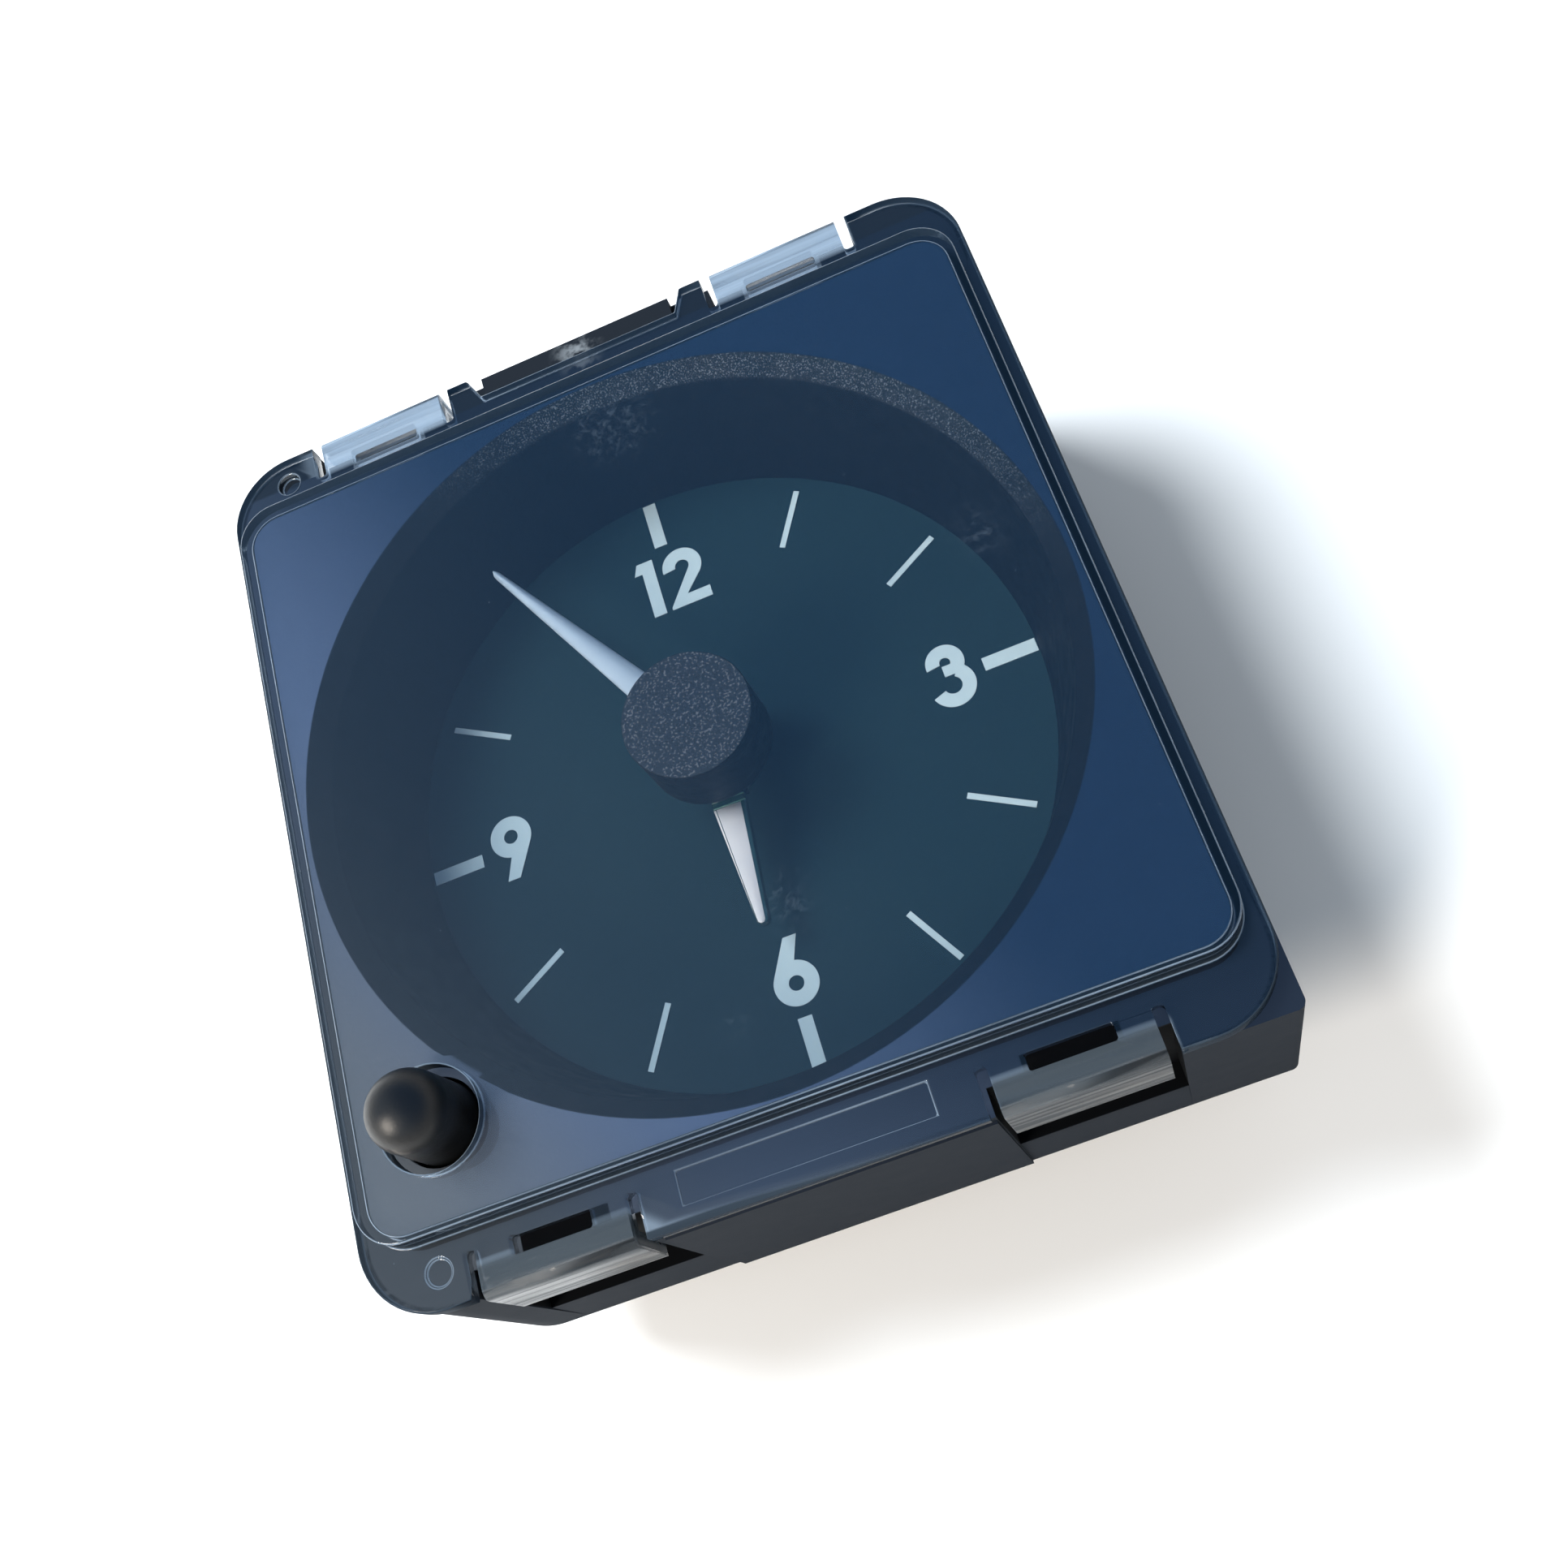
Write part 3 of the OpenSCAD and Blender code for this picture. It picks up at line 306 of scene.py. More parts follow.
def bulb_plastic():
    """Clear plastic with a trace of dust."""
    t = Tree("bulb_glass")
    dust = t.span(t.noise(1500.0, 5.0, 0.7), 0.69, 0.78, 0.0, 0.3, smooth=True)
    dusty = t.add("BsdfDiffuse", Color=rgb(0.62, 0.66, 0.70))
    shader = t.blend(dust, acrylic(t, (0.97, 0.97, 0.94)), dusty)
    return t.finish(lets_light_in(t, shader, (0.9, 0.92, 0.91)))


# The lens's painted light and shade: the clips painted lit at the upper edge and shaded at the
# lower edge, a painted highlight on their bend, and painted shade on the cut sides.
CLIP_BEND_HIGHLIGHT = rgb(0.085, 0.088, 0.092)
CLIP_UPPER_LIT = rgb(0.20, 0.265, 0.345)
CLIP_LOWER_SHADED = rgb(0.040, 0.050, 0.060)
EDGE_PAINTED_SHADE = rgb(0.018, 0.027, 0.039)


def bend_highlight(t, along):
    """A painted highlight along the bend of a clip, brighter in places."""
    streak = t.band(along, (43.3, 43.7), (44.0, 44.4), smooth=True)
    return t.times(streak, t.span(t.noise(130.0, 3.0), 0.38, 0.62, 0.25, 1.0, smooth=True))


def plate_rim(t, across, y):
    """1 along the outer edge of the lens plate, around its round corners too."""
    inset_x = t.math("MAXIMUM", t.math("SUBTRACT", across, (PLATE_HALF - PLATE_CORNER) * MM), 0.0)
    above = t.math("SUBTRACT", y, (PLATE_TOP - PLATE_CORNER) * MM)
    below = t.math("SUBTRACT", t.times(y, -1.0), (PLATE_BOTTOM - PLATE_CORNER) * MM)
    inset_y = t.math("MAXIMUM", t.math("MAXIMUM", above, below), 0.0)
    reach = t.length(inset_x, inset_y)
    return t.span(reach, (PLATE_CORNER - 0.65) * MM, (PLATE_CORNER - 0.45) * MM, 0.0, 1.0)


# Wiped marks on the lens: x, y and radius in millimetres, and strength.
WIPED_MARKS = (
    (2.0, 31.0, 6.5, 0.09),
    (30.5, 4.0, 4.0, 0.07),
    (4.5, -22.0, 4.0, 0.08),
    (-3.0, -31.0, 3.0, 0.05),
)


def lens_plastic():
    """Clear faces with dust and wiped marks, painted shade on the cut sides and rim, painted
    highlights on the round edges and the knob's hole, and hazy clips painted lit at the upper edge
    and shaded at the lower.
    """
    t = Tree("lens_clear")
    x, y = t.axis("X"), t.axis("Y")
    level = t.facing_up()
    across = t.math("ABSOLUTE", x)
    along = t.math("ABSOLUTE", y)
    clip = t.times(
        t.band(across, (14.9, 15.4), (29.6, 30.2)), t.span(along, 40.9 * MM, 41.6 * MM, 0.0, 1.0))

    pale = t.times(t.span(t.noise(1500.0, 5.0, 0.7), 0.68, 0.78, 0.0, 0.34, smooth=True), level)
    streaks = t.span(t.noise(1300.0, 6.0, 0.75, 0.4), 0.50, 0.66, 0.0, 1.0, smooth=True)
    for mark_x, mark_y, radius, strength in WIPED_MARKS:
        mark = t.near(mark_x, mark_y, LENS_TOP, radius)
        pale = t.math("ADD", pale, t.times(mark, streaks, strength))
    # Painted highlights along the lens's round edges, stronger in places.
    rounds = t.times(
        t.span(level, 0.25, 0.55, 0.0, 1.0, smooth=True),
        t.span(level, 0.86, 0.985, 1.0, 0.0, smooth=True))
    edge_highlight = t.span(t.noise(70.0, 3.0), 0.35, 0.65, 0.28, 0.62)
    pale = t.math("ADD", pale, t.times(rounds, edge_highlight))

    ribs = t.add("Mapping", Scale=(40.0, 900.0, 900.0))
    t.put(ribs.inputs["Vector"], t.coord)
    frost = t.span(t.noise(1.0, 3.0, vector=ribs.outputs[0]), 0.35, 0.65, 0.50, 0.86, smooth=True)
    pale = t.math("ADD", pale, t.times(clip, frost))
    # Painted shade on the plate's rim, its underside and the cut sides.
    under = t.span(t.axis("Z"), (FLANGE_Z - 1.0) * MM, (FLANGE_Z - 0.8) * MM, 0.75, 0.0)
    sloped = t.span(level, 0.90, 0.985, 0.92, 0.0, smooth=True)
    rim = t.times(plate_rim(t, across, y), t.math("MAXIMUM", under, sloped))
    sides = t.span(level, 0.12, 0.4, 0.72, 0.0, smooth=True)
    edge_shade = t.times(t.math("MAXIMUM", rim, sides), t.inverse(clip))
    # A painted highlight on the rim of the knob's hole.
    knob_hole_highlight = t.times(t.ring(KNOB_X, KNOB_Y, KNOB_HOLE - 0.1, KNOB_HOLE + 0.3), 0.75)
    pale = t.math("ADD", pale, t.times(knob_hole_highlight, t.span(level, 0.5, 0.99, 1.0, 0.0)))
    bend = t.times(clip, bend_highlight(t, along))

    # The haze, dust and painted highlights take the clips' painted light at the upper edge and
    # painted shade at the lower edge.
    lower_side = t.inverse(t.span(y, -1.0 * MM, 1.0 * MM, 0.0, 1.0))
    haze_and_light_colour = t.mix(t.times(clip, lower_side), CLIP_UPPER_LIT, CLIP_LOWER_SHADED)
    haze_and_light_colour = t.mix(t.times(bend, lower_side), haze_and_light_colour, CLIP_BEND_HIGHLIGHT)

    haze_and_highlights = t.add("BsdfDiffuse", Color=haze_and_light_colour)
    shader = t.blend(t.math("MINIMUM", pale, 0.9), acrylic(t, (0.985, 0.992, 0.995)), haze_and_highlights)
    shader = t.blend(edge_shade, shader, t.add("BsdfDiffuse", Color=EDGE_PAINTED_SHADE))
    return t.finish(lets_light_in(t, shader, (0.86, 0.88, 0.90)))


# ---- Materials ----

# The front's painted tones: a painted sheen, reflecting the sky, from the far side to the knob's
# corner and under the lens, painted shade and light in the clip pockets and windows, and painted
# light on the well's chamfer.
PAINTED_SHEEN_BLUE = rgb(0.0028, 0.0098, 0.0265)
PAINTED_SHEEN_MID = rgb(0.0335, 0.0500, 0.0900)
PAINTED_SHEEN_GREY = rgb(0.046, 0.051, 0.058)
FLANGE_PAINTED_SHEEN = rgb(0.022, 0.027, 0.034)
HOOK_LOWER_SHADE = rgb(0.0008, 0.0010, 0.0014)
HOOK_UPPER_LIGHT = rgb(0.12, 0.15, 0.19)
POCKET_PAINTED_SHADE = rgb(0.0005, 0.0006, 0.0008)
RUBBED = rgb(0.30, 0.34, 0.38)
CHAMFER_LIT_GROUND = rgb(0.0032, 0.0042, 0.0053)
CHAMFER_GRAIN_GLINT = rgb(0.080, 0.102, 0.125)
HUB_FACE = rgb(0.0070, 0.0095, 0.0130)
HUB_GRAIN = rgb(0.075, 0.081, 0.090)


def pocket_shade(t, base):
    """Painted shade, black, in the clip pockets, and a pale rubbed patch on the key at the upper
    edge.

    The painted shade has no lower limit, so it also shows on the case's rear face below the
    pockets."""
    across, along = t.math("ABSOLUTE", t.axis("X")), t.axis("Y")
    depth = t.times(
        t.band(across, (13.9, 14.5), (30.9, 31.4)),
        t.span(t.math("ABSOLUTE", along), 38.0 * MM, 38.6 * MM, 0.0, 1.0),
        t.band(along, (-43.6, -43.5), (44.8, 44.95)),
        t.span(t.axis("Z"), (FLANGE_Z - 2.4) * MM, (FLANGE_Z - 1.9) * MM, 1.0, 0.0))
    # Painted shade: the pockets turn black.
    base = t.mix(t.times(depth, 0.93), base, POCKET_PAINTED_SHADE)
    scuffs = t.span(t.noise(600.0, 4.0), 0.42, 0.62, 0.0, 0.5, smooth=True)
    rub = t.times(t.near(0.0, 43.2, FLANGE_Z - 0.5, 3.4), scuffs)
    return t.mix(rub, base, RUBBED)


def painted_sky_sheen(t):
    """The front's painted sheen, a painted reflection of the sky: blue over most of it, and greyer
    and paler towards the knob's corner.
    """
    from_knob = t.math("ADD", t.axis("X"), t.times(t.axis("Y"), 0.55))
    to_blue = t.span(from_knob, -32.0 * MM, 8.0 * MM, 0.0, 1.0, smooth=True)
    to_mid = t.span(from_knob, -54.0 * MM, -26.0 * MM, 0.0, 1.0, smooth=True)
    return t.mix(to_mid, PAINTED_SHEEN_GREY, t.mix(to_blue, PAINTED_SHEEN_MID, PAINTED_SHEEN_BLUE))


def case_front(t, base):
    """The case's front face: some of the mask's painted sheen, painted shade in the pockets, and
    clip windows painted dark at the lower edge and lit at the upper.
    """
    height = t.span(t.axis("Z"), (FLANGE_Z - 3.2) * MM, (FLANGE_Z - 2.8) * MM, 0.0, 1.0)
    along = t.axis("Y")
    front = t.times(
        t.span(t.axis("Z", t.normal), 0.9, 0.99, 0.0, 1.0), height,
        t.span(along, 42.3 * MM, 42.6 * MM, 1.0, 0.0))
    # The flange takes part of the painted sheen.
    shaded = pocket_shade(t, t.mix(front, base, t.mix(0.4, painted_sky_sheen(t), FLANGE_PAINTED_SHEEN)))
    across = t.math("ABSOLUTE", t.axis("X"))
    left, right = CLIP_X - WINDOW_HALF, CLIP_X + WINDOW_HALF
    window = t.times(t.band(across, (left - 0.1, left), (right, right + 0.1)), height)
    top, bottom = PLATE_TOP - WINDOW_IN, -(PLATE_BOTTOM - WINDOW_IN)
    upper = t.span(along, top * MM, (top + 0.1) * MM, 0.0, 1.0)
    lower = t.span(along, (bottom - 0.1) * MM, bottom * MM, 1.0, 0.0)
    # Painted shade in the lower clip windows and painted light in the upper ones.
    shaded = t.mix(t.times(window, lower), shaded, HOOK_LOWER_SHADE)
    return t.mix(t.times(window, upper), shaded, HOOK_UPPER_LIGHT)


def mask_front(t, base):
    """The level plate carries the painted sheen, a painted reflection of the sky, and the walls of
    the well below it stay dark.
    """
    plate = t.span(t.axis("Z", t.normal), 0.97, 0.995, 0.0, 1.0)
    return chamfer_grain_and_glint(t, t.mix(plate, base, painted_sky_sheen(t)))


def hub_top(t, base):
    """The cap's face is grained and its sides are darker."""
    top = t.span(t.axis("Z", t.normal), 0.75, 0.97, 0.0, 1.0)
    grains = t.span(t.noise(4300.0, 1.0), 0.57, 0.66, 0.0, 0.9, smooth=True)
    return t.mix(top, base, t.mix(grains, HUB_FACE, HUB_GRAIN))


def chamfer_grain_and_glint(t, base):
    """The grain on the chamfer around the well, with painted light and painted glints on the grain
    at its upper right, where the light catches it most.
    """
    x, y = t.axis("X"), t.axis("Y")
    band = t.band(t.length(x, y), (35.2, 35.5), (36.95, 37.1))
    # Painted light: the chamfer's ground and grain are lighter towards its upper right.
    side = t.span(t.math("ADD", t.times(x, 0.55), y), 17.0 * MM, 39.0 * MM, 0.03, 1.0, smooth=True)
    ground = t.mix(t.times(band, side, 0.6), base, CHAMFER_LIT_GROUND)
    grains = t.span(t.noise(6500.0, 1.0), 0.57, 0.65, 0.0, 1.0, smooth=True)
    return t.mix(t.times(band, side, grains, 0.9), ground, CHAMFER_GRAIN_GLINT)


case_black = moulded(
    "case_black", rgb(0.010, 0.0135, 0.019), rough=0.78, grain=4200, depth=0.012, spread=0.05,
    specular=0.3, ior=1.2, uneven=0.1, detail=case_front)
mask_black = moulded(
    "mask_black", rgb(0.0006, 0.0008, 0.0012), rough=0.70, grain=3600, depth=0.02, spread=0.1,
    specular=0.10, detail=mask_front)
hub_black = moulded(
    "hub_black", rgb(0.0015, 0.0017, 0.002), rough=0.6, grain=3600, depth=0.08, specular=0.15,
    detail=hub_top)
knob_black = moulded(
    "knob_black", rgb(0.005, 0.005, 0.005), rough=0.38, grain=4200, depth=0.02, dust=0.01,
    specular=0.34)
cover_black = moulded(
    "cover_black", rgb(0.022, 0.023, 0.026), rough=0.55, grain=2200, depth=0.06, dust=0.08,
    specular=0.25)
ivory = moulded("bobbin_ivory", rgb(0.70, 0.67, 0.58), rough=0.45, spread=0.06)
acetal = moulded("acetal_white", rgb(0.74, 0.74, 0.69), rough=0.38, spread=0.05, grain=2400)
chip = moulded("chip_black", rgb(0.025, 0.025, 0.028), rough=0.5, grain=5200)
rubber = moulded("disc_rubber", rgb(0.03, 0.03, 0.03), rough=0.8, grain=1800)
sleeve = moulded(
    "sleeve_blue", rgb(0.03, 0.05, 0.17), rough=0.25, spread=0.1, grain=1500, depth=0.01)
tan = moulded("resistor_tan", rgb(0.55, 0.42, 0.26), rough=0.3, spread=0.08, grain=1500, depth=0.01)
board = moulded(
    "board_green", rgb(0.02, 0.13, 0.05), rough=0.32, spread=0.2, grain=900, depth=0.01, coat=0.3)
milky = moulded(
    "guide_milky", rgb(0.78, 0.80, 0.79), rough=0.25, spread=0.03, grain=900, depth=0.01)
print_pale = moulded(
    "print_pale", rgb(0.28, 0.34, 0.35), rough=0.55, spread=0.04, grain=5000, depth=0.005,
    specular=0.2)
minute_white = moulded(
    "minute_white", rgb(0.19, 0.235, 0.28), rough=0.45, spread=0.03, grain=1400, depth=0.004,
    specular=0.2)
hour_white = moulded(
    "hour_white", rgb(0.325, 0.318, 0.32), rough=0.45, spread=0.03, grain=1400, depth=0.004,
    specular=0.2)
# A painted glint: the pale green of the hour hand's lit edges by its root.
glint_green = moulded(
    "glint_green", rgb(0.045, 0.110, 0.085), rough=0.3, spread=0.1, grain=900, depth=0.003,
    specular=0.4)
prism_green = moulded(
    "prism_green", rgb(0.006, 0.020, 0.015), rough=0.12, spread=0.2, grain=900, depth=0.003,
    specular=0.6)

brass = metal("turned_brass", (0.72, 0.53, 0.24), rough=0.28)
steel = metal("plated_steel", (0.60, 0.61, 0.63), rough=0.28)
shaft = metal("shaft_steel", (0.66, 0.67, 0.68), rough=0.2, brush=(1, 1, 8), tarnish=0.1)
plate = metal("plate_dark", (0.16, 0.165, 0.17), rough=0.42, brush=(1, 14, 1))
iron = metal("stamped_iron", (0.42, 0.43, 0.44), rough=0.4)
can = metal("drawn_can", (0.66, 0.67, 0.68), rough=0.22, brush=(1, 1, 10), tarnish=0.1)
magnet = metal("sintered_magnet", (0.20, 0.20, 0.22), rough=0.5, grain=5000)
copper = metal(
    "copper_wire", (0.66, 0.27, 0.11), rough=0.25, brush=(0.15, 12, 0.15), grain=600, depth=0.06,
    tarnish=0.15)


def dial_ground():
    """Printed film: blue-grey with a fine printed screen."""
    t = Tree("dial_ground")
    cloud = t.noise(26.0, 3.0)
    base = t.mix(cloud, rgb(0.0045, 0.0125, 0.0150), rgb(0.0058, 0.0155, 0.0185))
    gloss = t.span(t.noise(600.0, 3.0), 0.3, 0.7, 0.42, 0.55)
    shader = t.add("BsdfPrincipled", Base_Color=base, Roughness=gloss)
    shader.inputs["Specular IOR Level"].default_value = 0.1
    t.put(shader.inputs["Normal"], t.bump(t.noise(5200.0, 2.0), 0.3, 0.01 * MM))
    return t.finish(shader)


dial_film = dial_ground()
lens_clear = lens_plastic()
bulb_glass = bulb_plastic()


# ---- Pieces ----


SAME_POINT = 1e-7  # metres
FLAT = math.radians(0.6)
SHARP = math.radians(32.0)

SLOT_OF = {s["node"]: s["material_slot"] for s in frame["record"]["subparts"]}
BODY_OF = {n: b for b, members in frame["record"]["behaviour"]["bodies"].items() for n in members}


def shade_smooth(mesh):
    for polygon in mesh.polygons:
        polygon.use_smooth = True


def face_outward(mesh):
    bm = bmesh.new()
    bm.from_mesh(mesh)
    bmesh.ops.recalc_face_normals(bm, faces=bm.faces)
    bm.to_mesh(mesh)
    bm.free()


def rounded(node, width, segments, wanted=None):
    """A CAD node's shape with its sharp edges rounded, or only those that wanted(edge) picks."""
    bm = bmesh.new()
    bm.from_mesh(NODES[node].data)
    bmesh.ops.remove_doubles(bm, verts=bm.verts, dist=SAME_POINT)
    bmesh.ops.dissolve_limit(bm, angle_limit=FLAT, verts=bm.verts, edges=bm.edges)
    sharp = [e for e in bm.edges if len(e.link_faces) == 2 and e.calc_face_angle(0) > SHARP]
    if wanted:
        sharp = [e for e in sharp if wanted(e)]
    bmesh.ops.bevel(
        bm, geom=sharp, offset=width * MM, offset_type="OFFSET", segments=segments, profile=0.5,
        affect="EDGES", clamp_overlap=False, loop_slide=True, miter_outer="SHARP",
    )
    bmesh.ops.remove_doubles(bm, verts=bm.verts, dist=SAME_POINT)
    mesh = bpy.data.meshes.new(node)
    bm.to_mesh(mesh)
    bm.free()
    shade_smooth(mesh)
    return mesh


def piece(name, mesh, material, node):
    """A new object in a CAD node's place, on its body."""
    obj = bpy.data.objects.new(name, mesh)
    bpy.context.scene.collection.objects.link(obj)
    mesh.materials.clear()
    mesh.materials.append(material)
    body, slot = BODY_OF[node], SLOT_OF[node]
    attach(obj, body)
    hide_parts(node)
    return obj


def refined(node, material, width, segments=2, wanted=None):
    """The CAD node's shape as a piece with its edges rounded, as a moulding's are."""
    obj = piece(node + "_finished", rounded(node, width, segments, wanted), material, node)
    weighted = obj.modifiers.new("flat_faces", "WEIGHTED_NORMAL")
    weighted.mode = "FACE_AREA"
    weighted.weight = 80


def lens_edge(edge):
    """True for the lens's edges that are rounded: not the clips' or the recesses' floors."""
    points = [v.co / MM for v in edge.verts]
    on_clip = all(14 < abs(p.x) < 31 and abs(p.y) > 39.5 for p in points)
    on_recess_floor = max(abs(p.z - (FLANGE_Z - 0.25)) for p in points) <= 0.01
    return not on_clip and not on_recess_floor


def mask_edge(edge):
    """True for the mask's edges that are rounded: all but those of the knob's hole."""
    knob_at = Vector((KNOB_X, KNOB_Y))
    return not all((v.co.xy / MM - knob_at).length < 6 for v in edge.verts)


def painted(material, *names):
    for name in names:
        mesh = NODES[name].data
        mesh.materials.clear()
        mesh.materials.append(material)


painted(case_black, "housing")
painted(lens_clear, "lens")
painted(mask_black, "mask")
painted(dial_film, "dial")
painted(print_pale, "dial_markings")
painted(milky, "light_guide")
painted(cover_black, "rear_cover", "bulb_holders", "connector_shroud")
painted(
    steel, "cover_screws", "board_screws", "front_plate_screws", "plate_screws", "knob_clip",
    "spring_seat")
painted(
    brass, "mount_inserts", "board_pillars", "plate_pillars", "centre_bush", "centre_wheel",
    "cannon_pinion", "hour_wheel", "third_wheel", "terminals")
painted(bulb_glass, "bulbs")
painted(board, "circuit_board")
painted(can, "quartz_crystal")
painted(chip, "clock_ic")
painted(sleeve, "capacitor")
painted(tan, "resistors")
painted(plate, "front_plate", "rear_plate")
painted(iron, "stator", "coil_core")
painted(ivory, "coil_bobbin")
painted(copper, "coil_winding")
painted(shaft, "motion_stud", "idler_stud", "minute_shaft", "rotor_pinion", "knob_spring")
painted(acetal, "knob_bush", "motion_wheel", "setting_idler", "knob_shaft")
painted(magnet, "rotor_magnet")
painted(minute_white, "minute_hand")
painted(hour_white, "hour_hand")
painted(hub_black, "hub_cap", "hour_hub")
painted(knob_black, "set_knob")
painted(rubber, "friction_disc")

refined("lens", lens_clear, 0.22, wanted=lens_edge)
refined("mask", mask_black, 0.15, wanted=mask_edge)
refined("hub_cap", hub_black, 0.15)
refined("hour_hub", hub_black, 0.06, 1)
refined("set_knob", knob_black, 0.2)


def skin(rings, count, closed=False):
    """Quads between neighbouring rings of points; closed also joins the last ring to the first."""
    faces = []
    for i in range(rings if closed else rings - 1):
        n = (i + 1) % rings
        for j in range(count):
            k = (j + 1) % count
            faces.append((i * count + j, i * count + k, n * count + k, n * count + j))
    return faces


def capped(rings, count):
    """The skin of a tube with both of its ends."""
    last = tuple((rings - 1) * count + j for j in range(count))
    return skin(rings, count) + [tuple(range(count))[::-1], last]


def blade(name, angle, stations, section, lean=0.0):
    """A hand's blade at a clock angle: (radius, half width) stations, a (side, height) section,
    and a lean that shifts it sideways."""
    mesh = bpy.data.meshes.new(name)
    direction = Vector((math.sin(angle), math.cos(angle), 0))
    across = Vector((math.cos(angle), -math.sin(angle), 0))
    points = []
    for radius, half in stations:
        for side, height in section:
            level = direction * radius + across * (side * half + lean)
            points.append((level + Vector((0, 0, height))) * MM)
    mesh.from_pydata(points, [], capped(len(stations), len(section)))
    face_outward(mesh)
    for polygon in mesh.polygons:
        polygon.use_smooth = len(polygon.vertices) == 4
    return mesh


def hand_stations(root, length, root_half, tip_half, count=8):
    """Radii and half widths of a straight taper that ends in a round tip, in millimetres."""
    straight = length - tip_half
    steps = [i / (count - 1) for i in range(count)]
    body = [(root + (straight - root) * f, root_half + (tip_half - root_half) * f) for f in steps]
    turn = [math.radians(15 * i) for i in range(1, 6)]
    return body + [(straight + tip_half * math.sin(a), tip_half * math.cos(a)) for a in turn]


def arched(low, high, shoulder=0.5, count=9):
    """A section with upright sides up to the shoulder and an arch over them."""
    rise = high - low
    arch = [1 - 2 * i / (count - 1) for i in range(count)]
    top = [(u, low + rise * (shoulder + (1 - shoulder) * (1 - u * u))) for u in arch]
    return [(-1, low), (1, low)] + top


def flat_topped(low, high, edge=0.12):
    """A section with small round corners at its upper edges."""
    side = high - edge
    return [(-1, low), (1, low), (1, side), (1 - edge, high), (edge - 1, high), (-1, side)]


def turned(name, profile, steps=72):
    """A turned shape around the dial's axis, from a closed (radius, height) profile."""
    points = []
    for i in range(steps):
        a = 2 * math.pi * i / steps
        points += [(r * math.cos(a) * MM, r * math.sin(a) * MM, z * MM) for r, z in profile]
    mesh = bpy.data.meshes.new(name)
    mesh.from_pydata(points, [], skin(steps, len(profile), closed=True))
    face_outward(mesh)
    return mesh


def make_minute_hand():
    """A white blade and the disc it starts from."""
    node = "minute_hand"
    length, angle = node_tip(node)
    low, high = node_span(node, 2)
    stations = hand_stations(root=3.3, length=length, root_half=1.72, tip_half=0.36)
    mesh = blade("minute_blade", angle, stations, arched(high - 1.1, high))
    piece("minute_blade", mesh, minute_white, node)
    bore, edge, top = 0.76, 3.58, high - 0.02
    disc = turned("minute_disc", [(bore, low), (edge, low), (edge, top), (bore, top)])
    piece("minute_disc", disc, minute_white, node)


def make_hour_hand():
    """A dark green bar, a white face let into its top, and two thin pale green bars by its root,
    painted glints on the bar's edges.
    """
    node = "hour_hand"
    length, angle = node_tip(node)
    low, high = node_span(node, 2)
    stations = hand_stations(root=2.25, length=length, root_half=1.94, tip_half=0.62)
    bar = blade("hour_bar", angle, stations, flat_topped(low, high - 0.1))
    piece("hour_bar", bar, prism_green, node)
    stations = hand_stations(root=6.45, length=length - 0.08, root_half=1.52, tip_half=0.46)
    face = blade("hour_face", angle, stations, arched(high - 0.5, high, 0.7), lean=0.11)
    piece("hour_face", face, hour_white, node)
    section = flat_topped(high - 0.2, high - 0.02, 0.05)
    # Two painted glints on the bar's edges by its root, as thin pale green bars.
    for name, radius in (("hour_glint_inner", 5.62), ("hour_glint_outer", 6.28)):
        line = blade(name, angle, [(radius, 1.62), (radius + 0.11, 1.61)], section)
        piece(name, line, glint_green, node)


def make_spring():
    """The knob's compression spring as a coil of wire whose end turns lie flat."""
    node = "knob_spring"
    low, high = node_span(node, 2)
    x_low, x_high = node_span(node, 0)
    y_low, y_high = node_span(node, 1)
    centre = Vector(((x_low + x_high) / 2, (y_low + y_high) / 2, 0))
    wire = 0.27  # radius, in millimetres
    ring = (x_high - x_low) / 2 - wire - 0.02
    turns, flat_turns = 5.5, 0.8
    steps, sides = 26, 8  # points around a turn, and around the wire
    total = int(turns * steps)
    points = []
    for i in range(total + 1):
        a = 2 * math.pi * i / steps
        climb = min(1.0, max(0.0, (i / steps - flat_turns) / (turns - 2 * flat_turns)))
        z = low + wire + (high - low - 2 * wire) * climb
        out = Vector((math.cos(a), math.sin(a), 0))
        for j in range(sides):
            b = 2 * math.pi * j / sides
            rise = Vector((0, 0, z + wire * math.sin(b)))
            points.append((centre + out * (ring + wire * math.cos(b)) + rise) * MM)
    mesh = bpy.data.meshes.new("spring_coil")
    mesh.from_pydata(points, [], capped(total + 1, sides))
    face_outward(mesh)
    shade_smooth(mesh)
    coil = piece("spring_coil", mesh, shaft, node)
    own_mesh(coil)


make_minute_hand()
make_hour_hand()
make_spring()

# ---- Floor and light ----


def floor_material():
    t = Tree("floor_pale")
    shader = t.add("BsdfPrincipled", Base_Color=rgb(0.86, 0.865, 0.87), Roughness=0.75)
    t.put(shader.inputs["Normal"], t.bump(t.noise(300.0, 2.0), 0.05, 0.05 * MM))
    return t.finish(shader)


FLOOR_HALF = 2.5
FLOOR_GAP = 0.05  # below the part's lowest point, in millimetres

floor_mesh = bpy.data.meshes.new("floor")
signs = ((-1, -1), (1, -1), (1, 1), (-1, 1))
floor_corners = [(x * FLOOR_HALF, y * FLOOR_HALF, 0) for x, y in signs]
floor_mesh.from_pydata(floor_corners, [], [(0, 1, 2, 3)])
floor_mesh.materials.append(floor_material())
floor = bpy.data.objects.new("floor", floor_mesh)
floor.location.z = cad_low.z - FLOOR_GAP * MM
bpy.context.scene.collection.objects.link(floor)


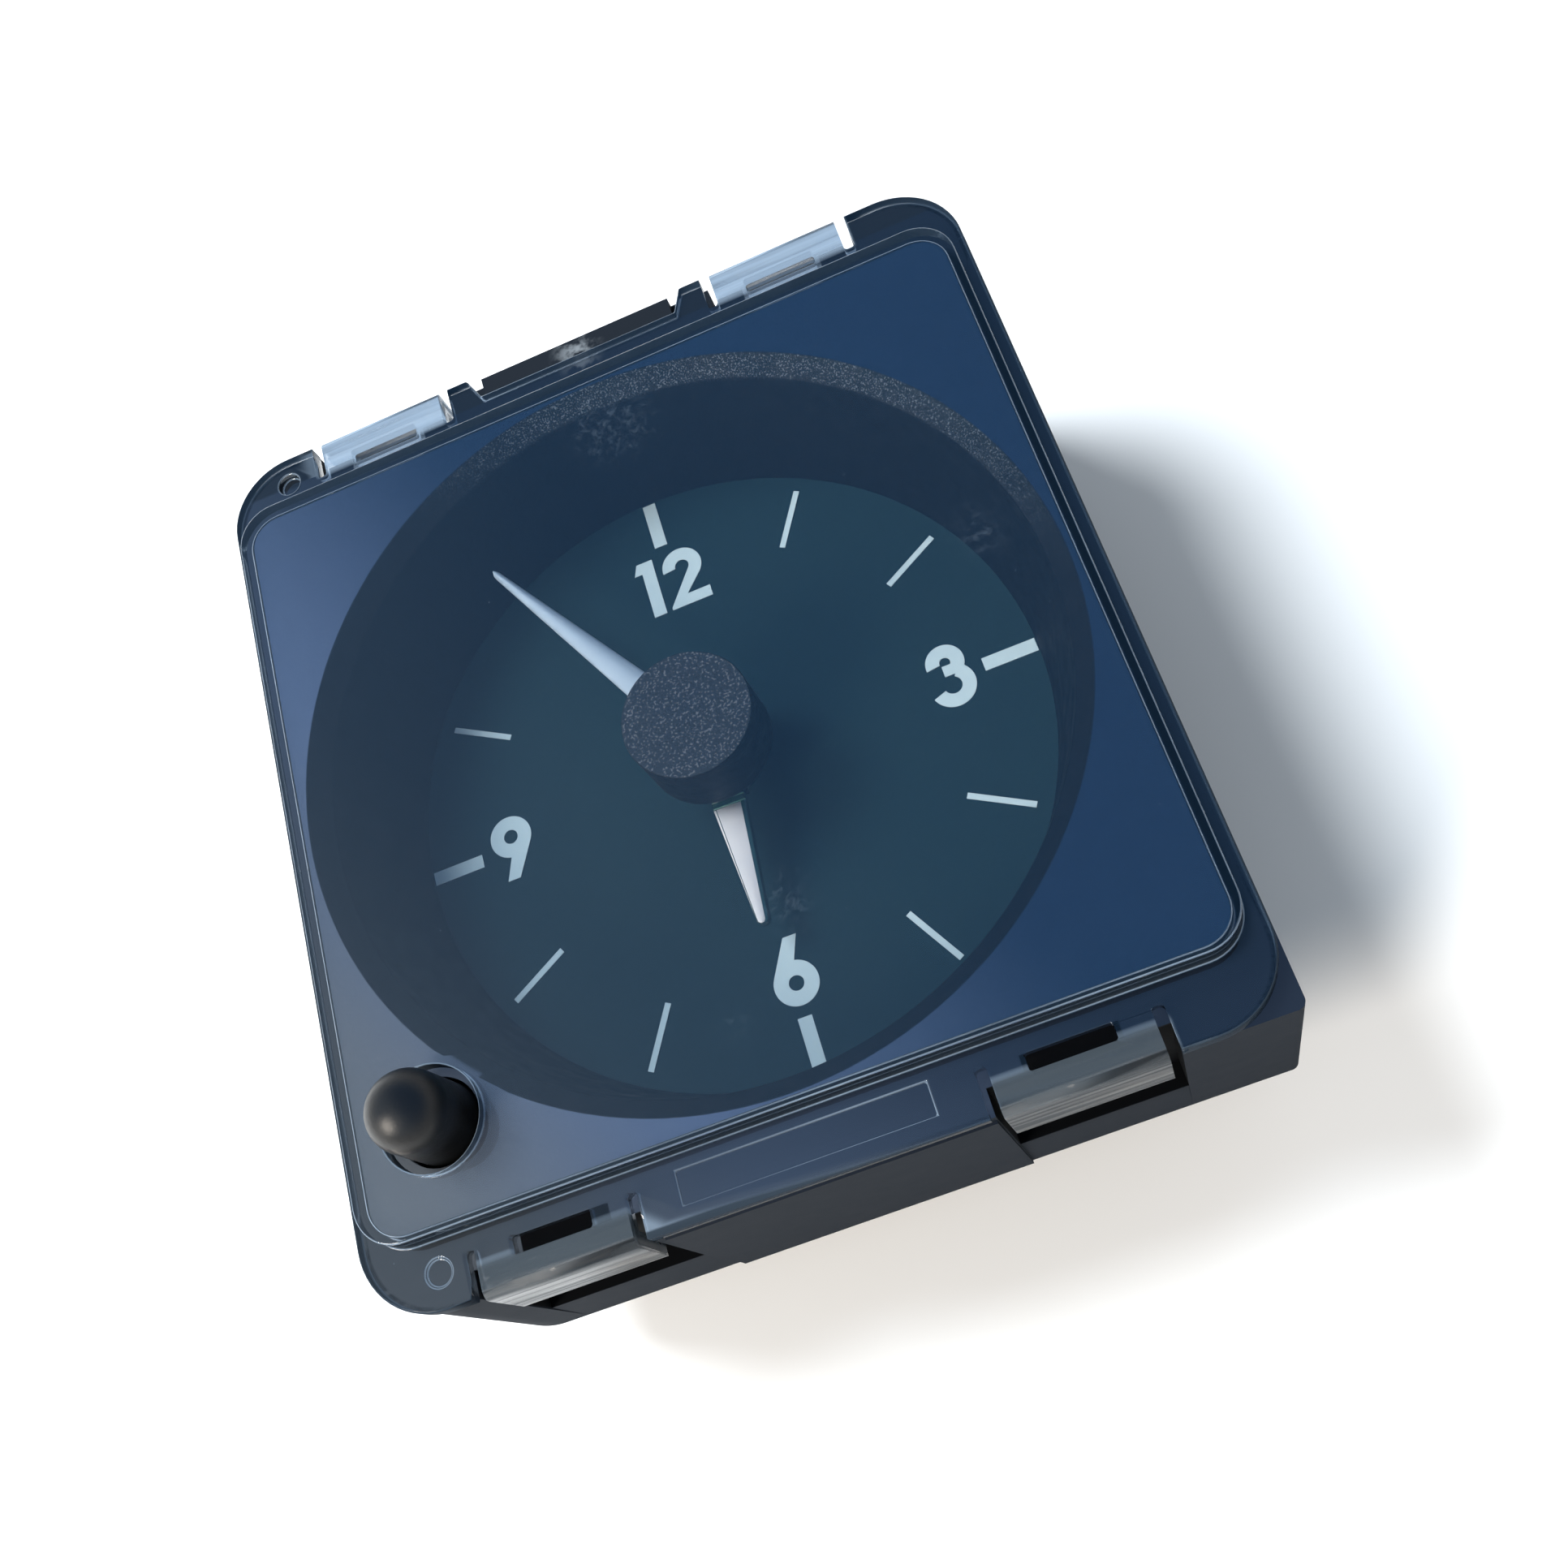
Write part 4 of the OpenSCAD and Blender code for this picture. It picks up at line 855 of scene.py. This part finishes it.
def softbox(name, at, aim, size, power, colour, seen_in_gloss=False):
    data = bpy.data.lights.new(name, "AREA")
    data.shape = "DISK"
    data.size = size
    data.energy = power
    data.color = colour
    obj = bpy.data.objects.new(name, data)
    bpy.context.scene.collection.objects.link(obj)
    obj.location = at
    obj.rotation_euler = (Vector(aim) - Vector(at)).to_track_quat("-Z", "Y").to_euler()
    obj.visible_glossy = seen_in_gloss
    obj.visible_transmission = seen_in_gloss


MIDDLE = (0.0, 0.0, 0.03)
softbox(
    "overhead", at=(-0.42, 0.32, 0.84), aim=MIDDLE, size=0.42, power=15.0,
    colour=(0.90, 0.96, 1.0))
softbox(
    "key_left", at=(-0.45, -0.32, 0.42), aim=MIDDLE, size=0.28, power=5.0,
    colour=(1.0, 0.90, 0.78), seen_in_gloss=True)

SOFT_COLOUR = rgb(0.82, 0.91, 1.0)
SOFT_STRENGTH = 0.48
SKY_LOW = rgb(1.2, 1.2, 1.2)
SKY_LIGHT = rgb(0.62, 0.86, 1.18)
SKY_MID = rgb(0.27, 0.50, 0.86)
SKY_DEEP = rgb(0.12, 0.33, 0.70)


def sky():
    """Pale for diffuse light. Reflections see white low down, and pale to deep blue above."""
    world = bpy.data.worlds.new("soft_sky")
    bpy.context.scene.world = world
    world.use_nodes = True
    tree = world.node_tree
    tree.nodes.clear()

    def add(kind):
        return tree.nodes.new("ShaderNode" + kind)

    out, pick = add("OutputWorld"), add("MixShader")
    soft, seen = add("Background"), add("Background")
    coord, parts, path = add("TexCoord"), add("SeparateXYZ"), add("LightPath")
    tree.links.new(coord.outputs["Generated"], parts.inputs[0])

    def ramp(value, low, high):
        node = add("MapRange")
        node.interpolation_type = "SMOOTHSTEP"
        tree.links.new(value, node.inputs["Value"])
        node.inputs["From Min"].default_value = low
        node.inputs["From Max"].default_value = high
        return node.outputs[0]

    def blend(factor, a, b):
        node = add("Mix")
        node.data_type = "RGBA"
        tree.links.new(factor, node.inputs["Factor"])
        for socket, value in ((node.inputs["A"], a), (node.inputs["B"], b)):
            if isinstance(value, tuple):
                socket.default_value = value
            else:
                tree.links.new(value, socket)
        return node.outputs["Result"]

    side = add("Math")
    side.operation = "MULTIPLY_ADD"
    tree.links.new(parts.outputs["Y"], side.inputs[0])
    side.inputs[1].default_value = 0.5
    tree.links.new(parts.outputs["X"], side.inputs[2])
    blue = blend(ramp(side.outputs[0], -0.15, 0.15), SKY_MID, SKY_DEEP)
    across = blend(ramp(side.outputs[0], -0.36, -0.08), SKY_LIGHT, blue)
    upward = blend(ramp(parts.outputs["Z"], 0.05, 0.55), SKY_LOW, across)
    tree.links.new(upward, seen.inputs["Color"])
    seen.inputs["Strength"].default_value = 1.0
    soft.inputs["Color"].default_value = SOFT_COLOUR
    soft.inputs["Strength"].default_value = SOFT_STRENGTH
    tree.links.new(path.outputs["Is Glossy Ray"], pick.inputs[0])
    tree.links.new(soft.outputs[0], pick.inputs[1])
    tree.links.new(seen.outputs[0], pick.inputs[2])
    tree.links.new(pick.outputs[0], out.inputs[0])


sky()
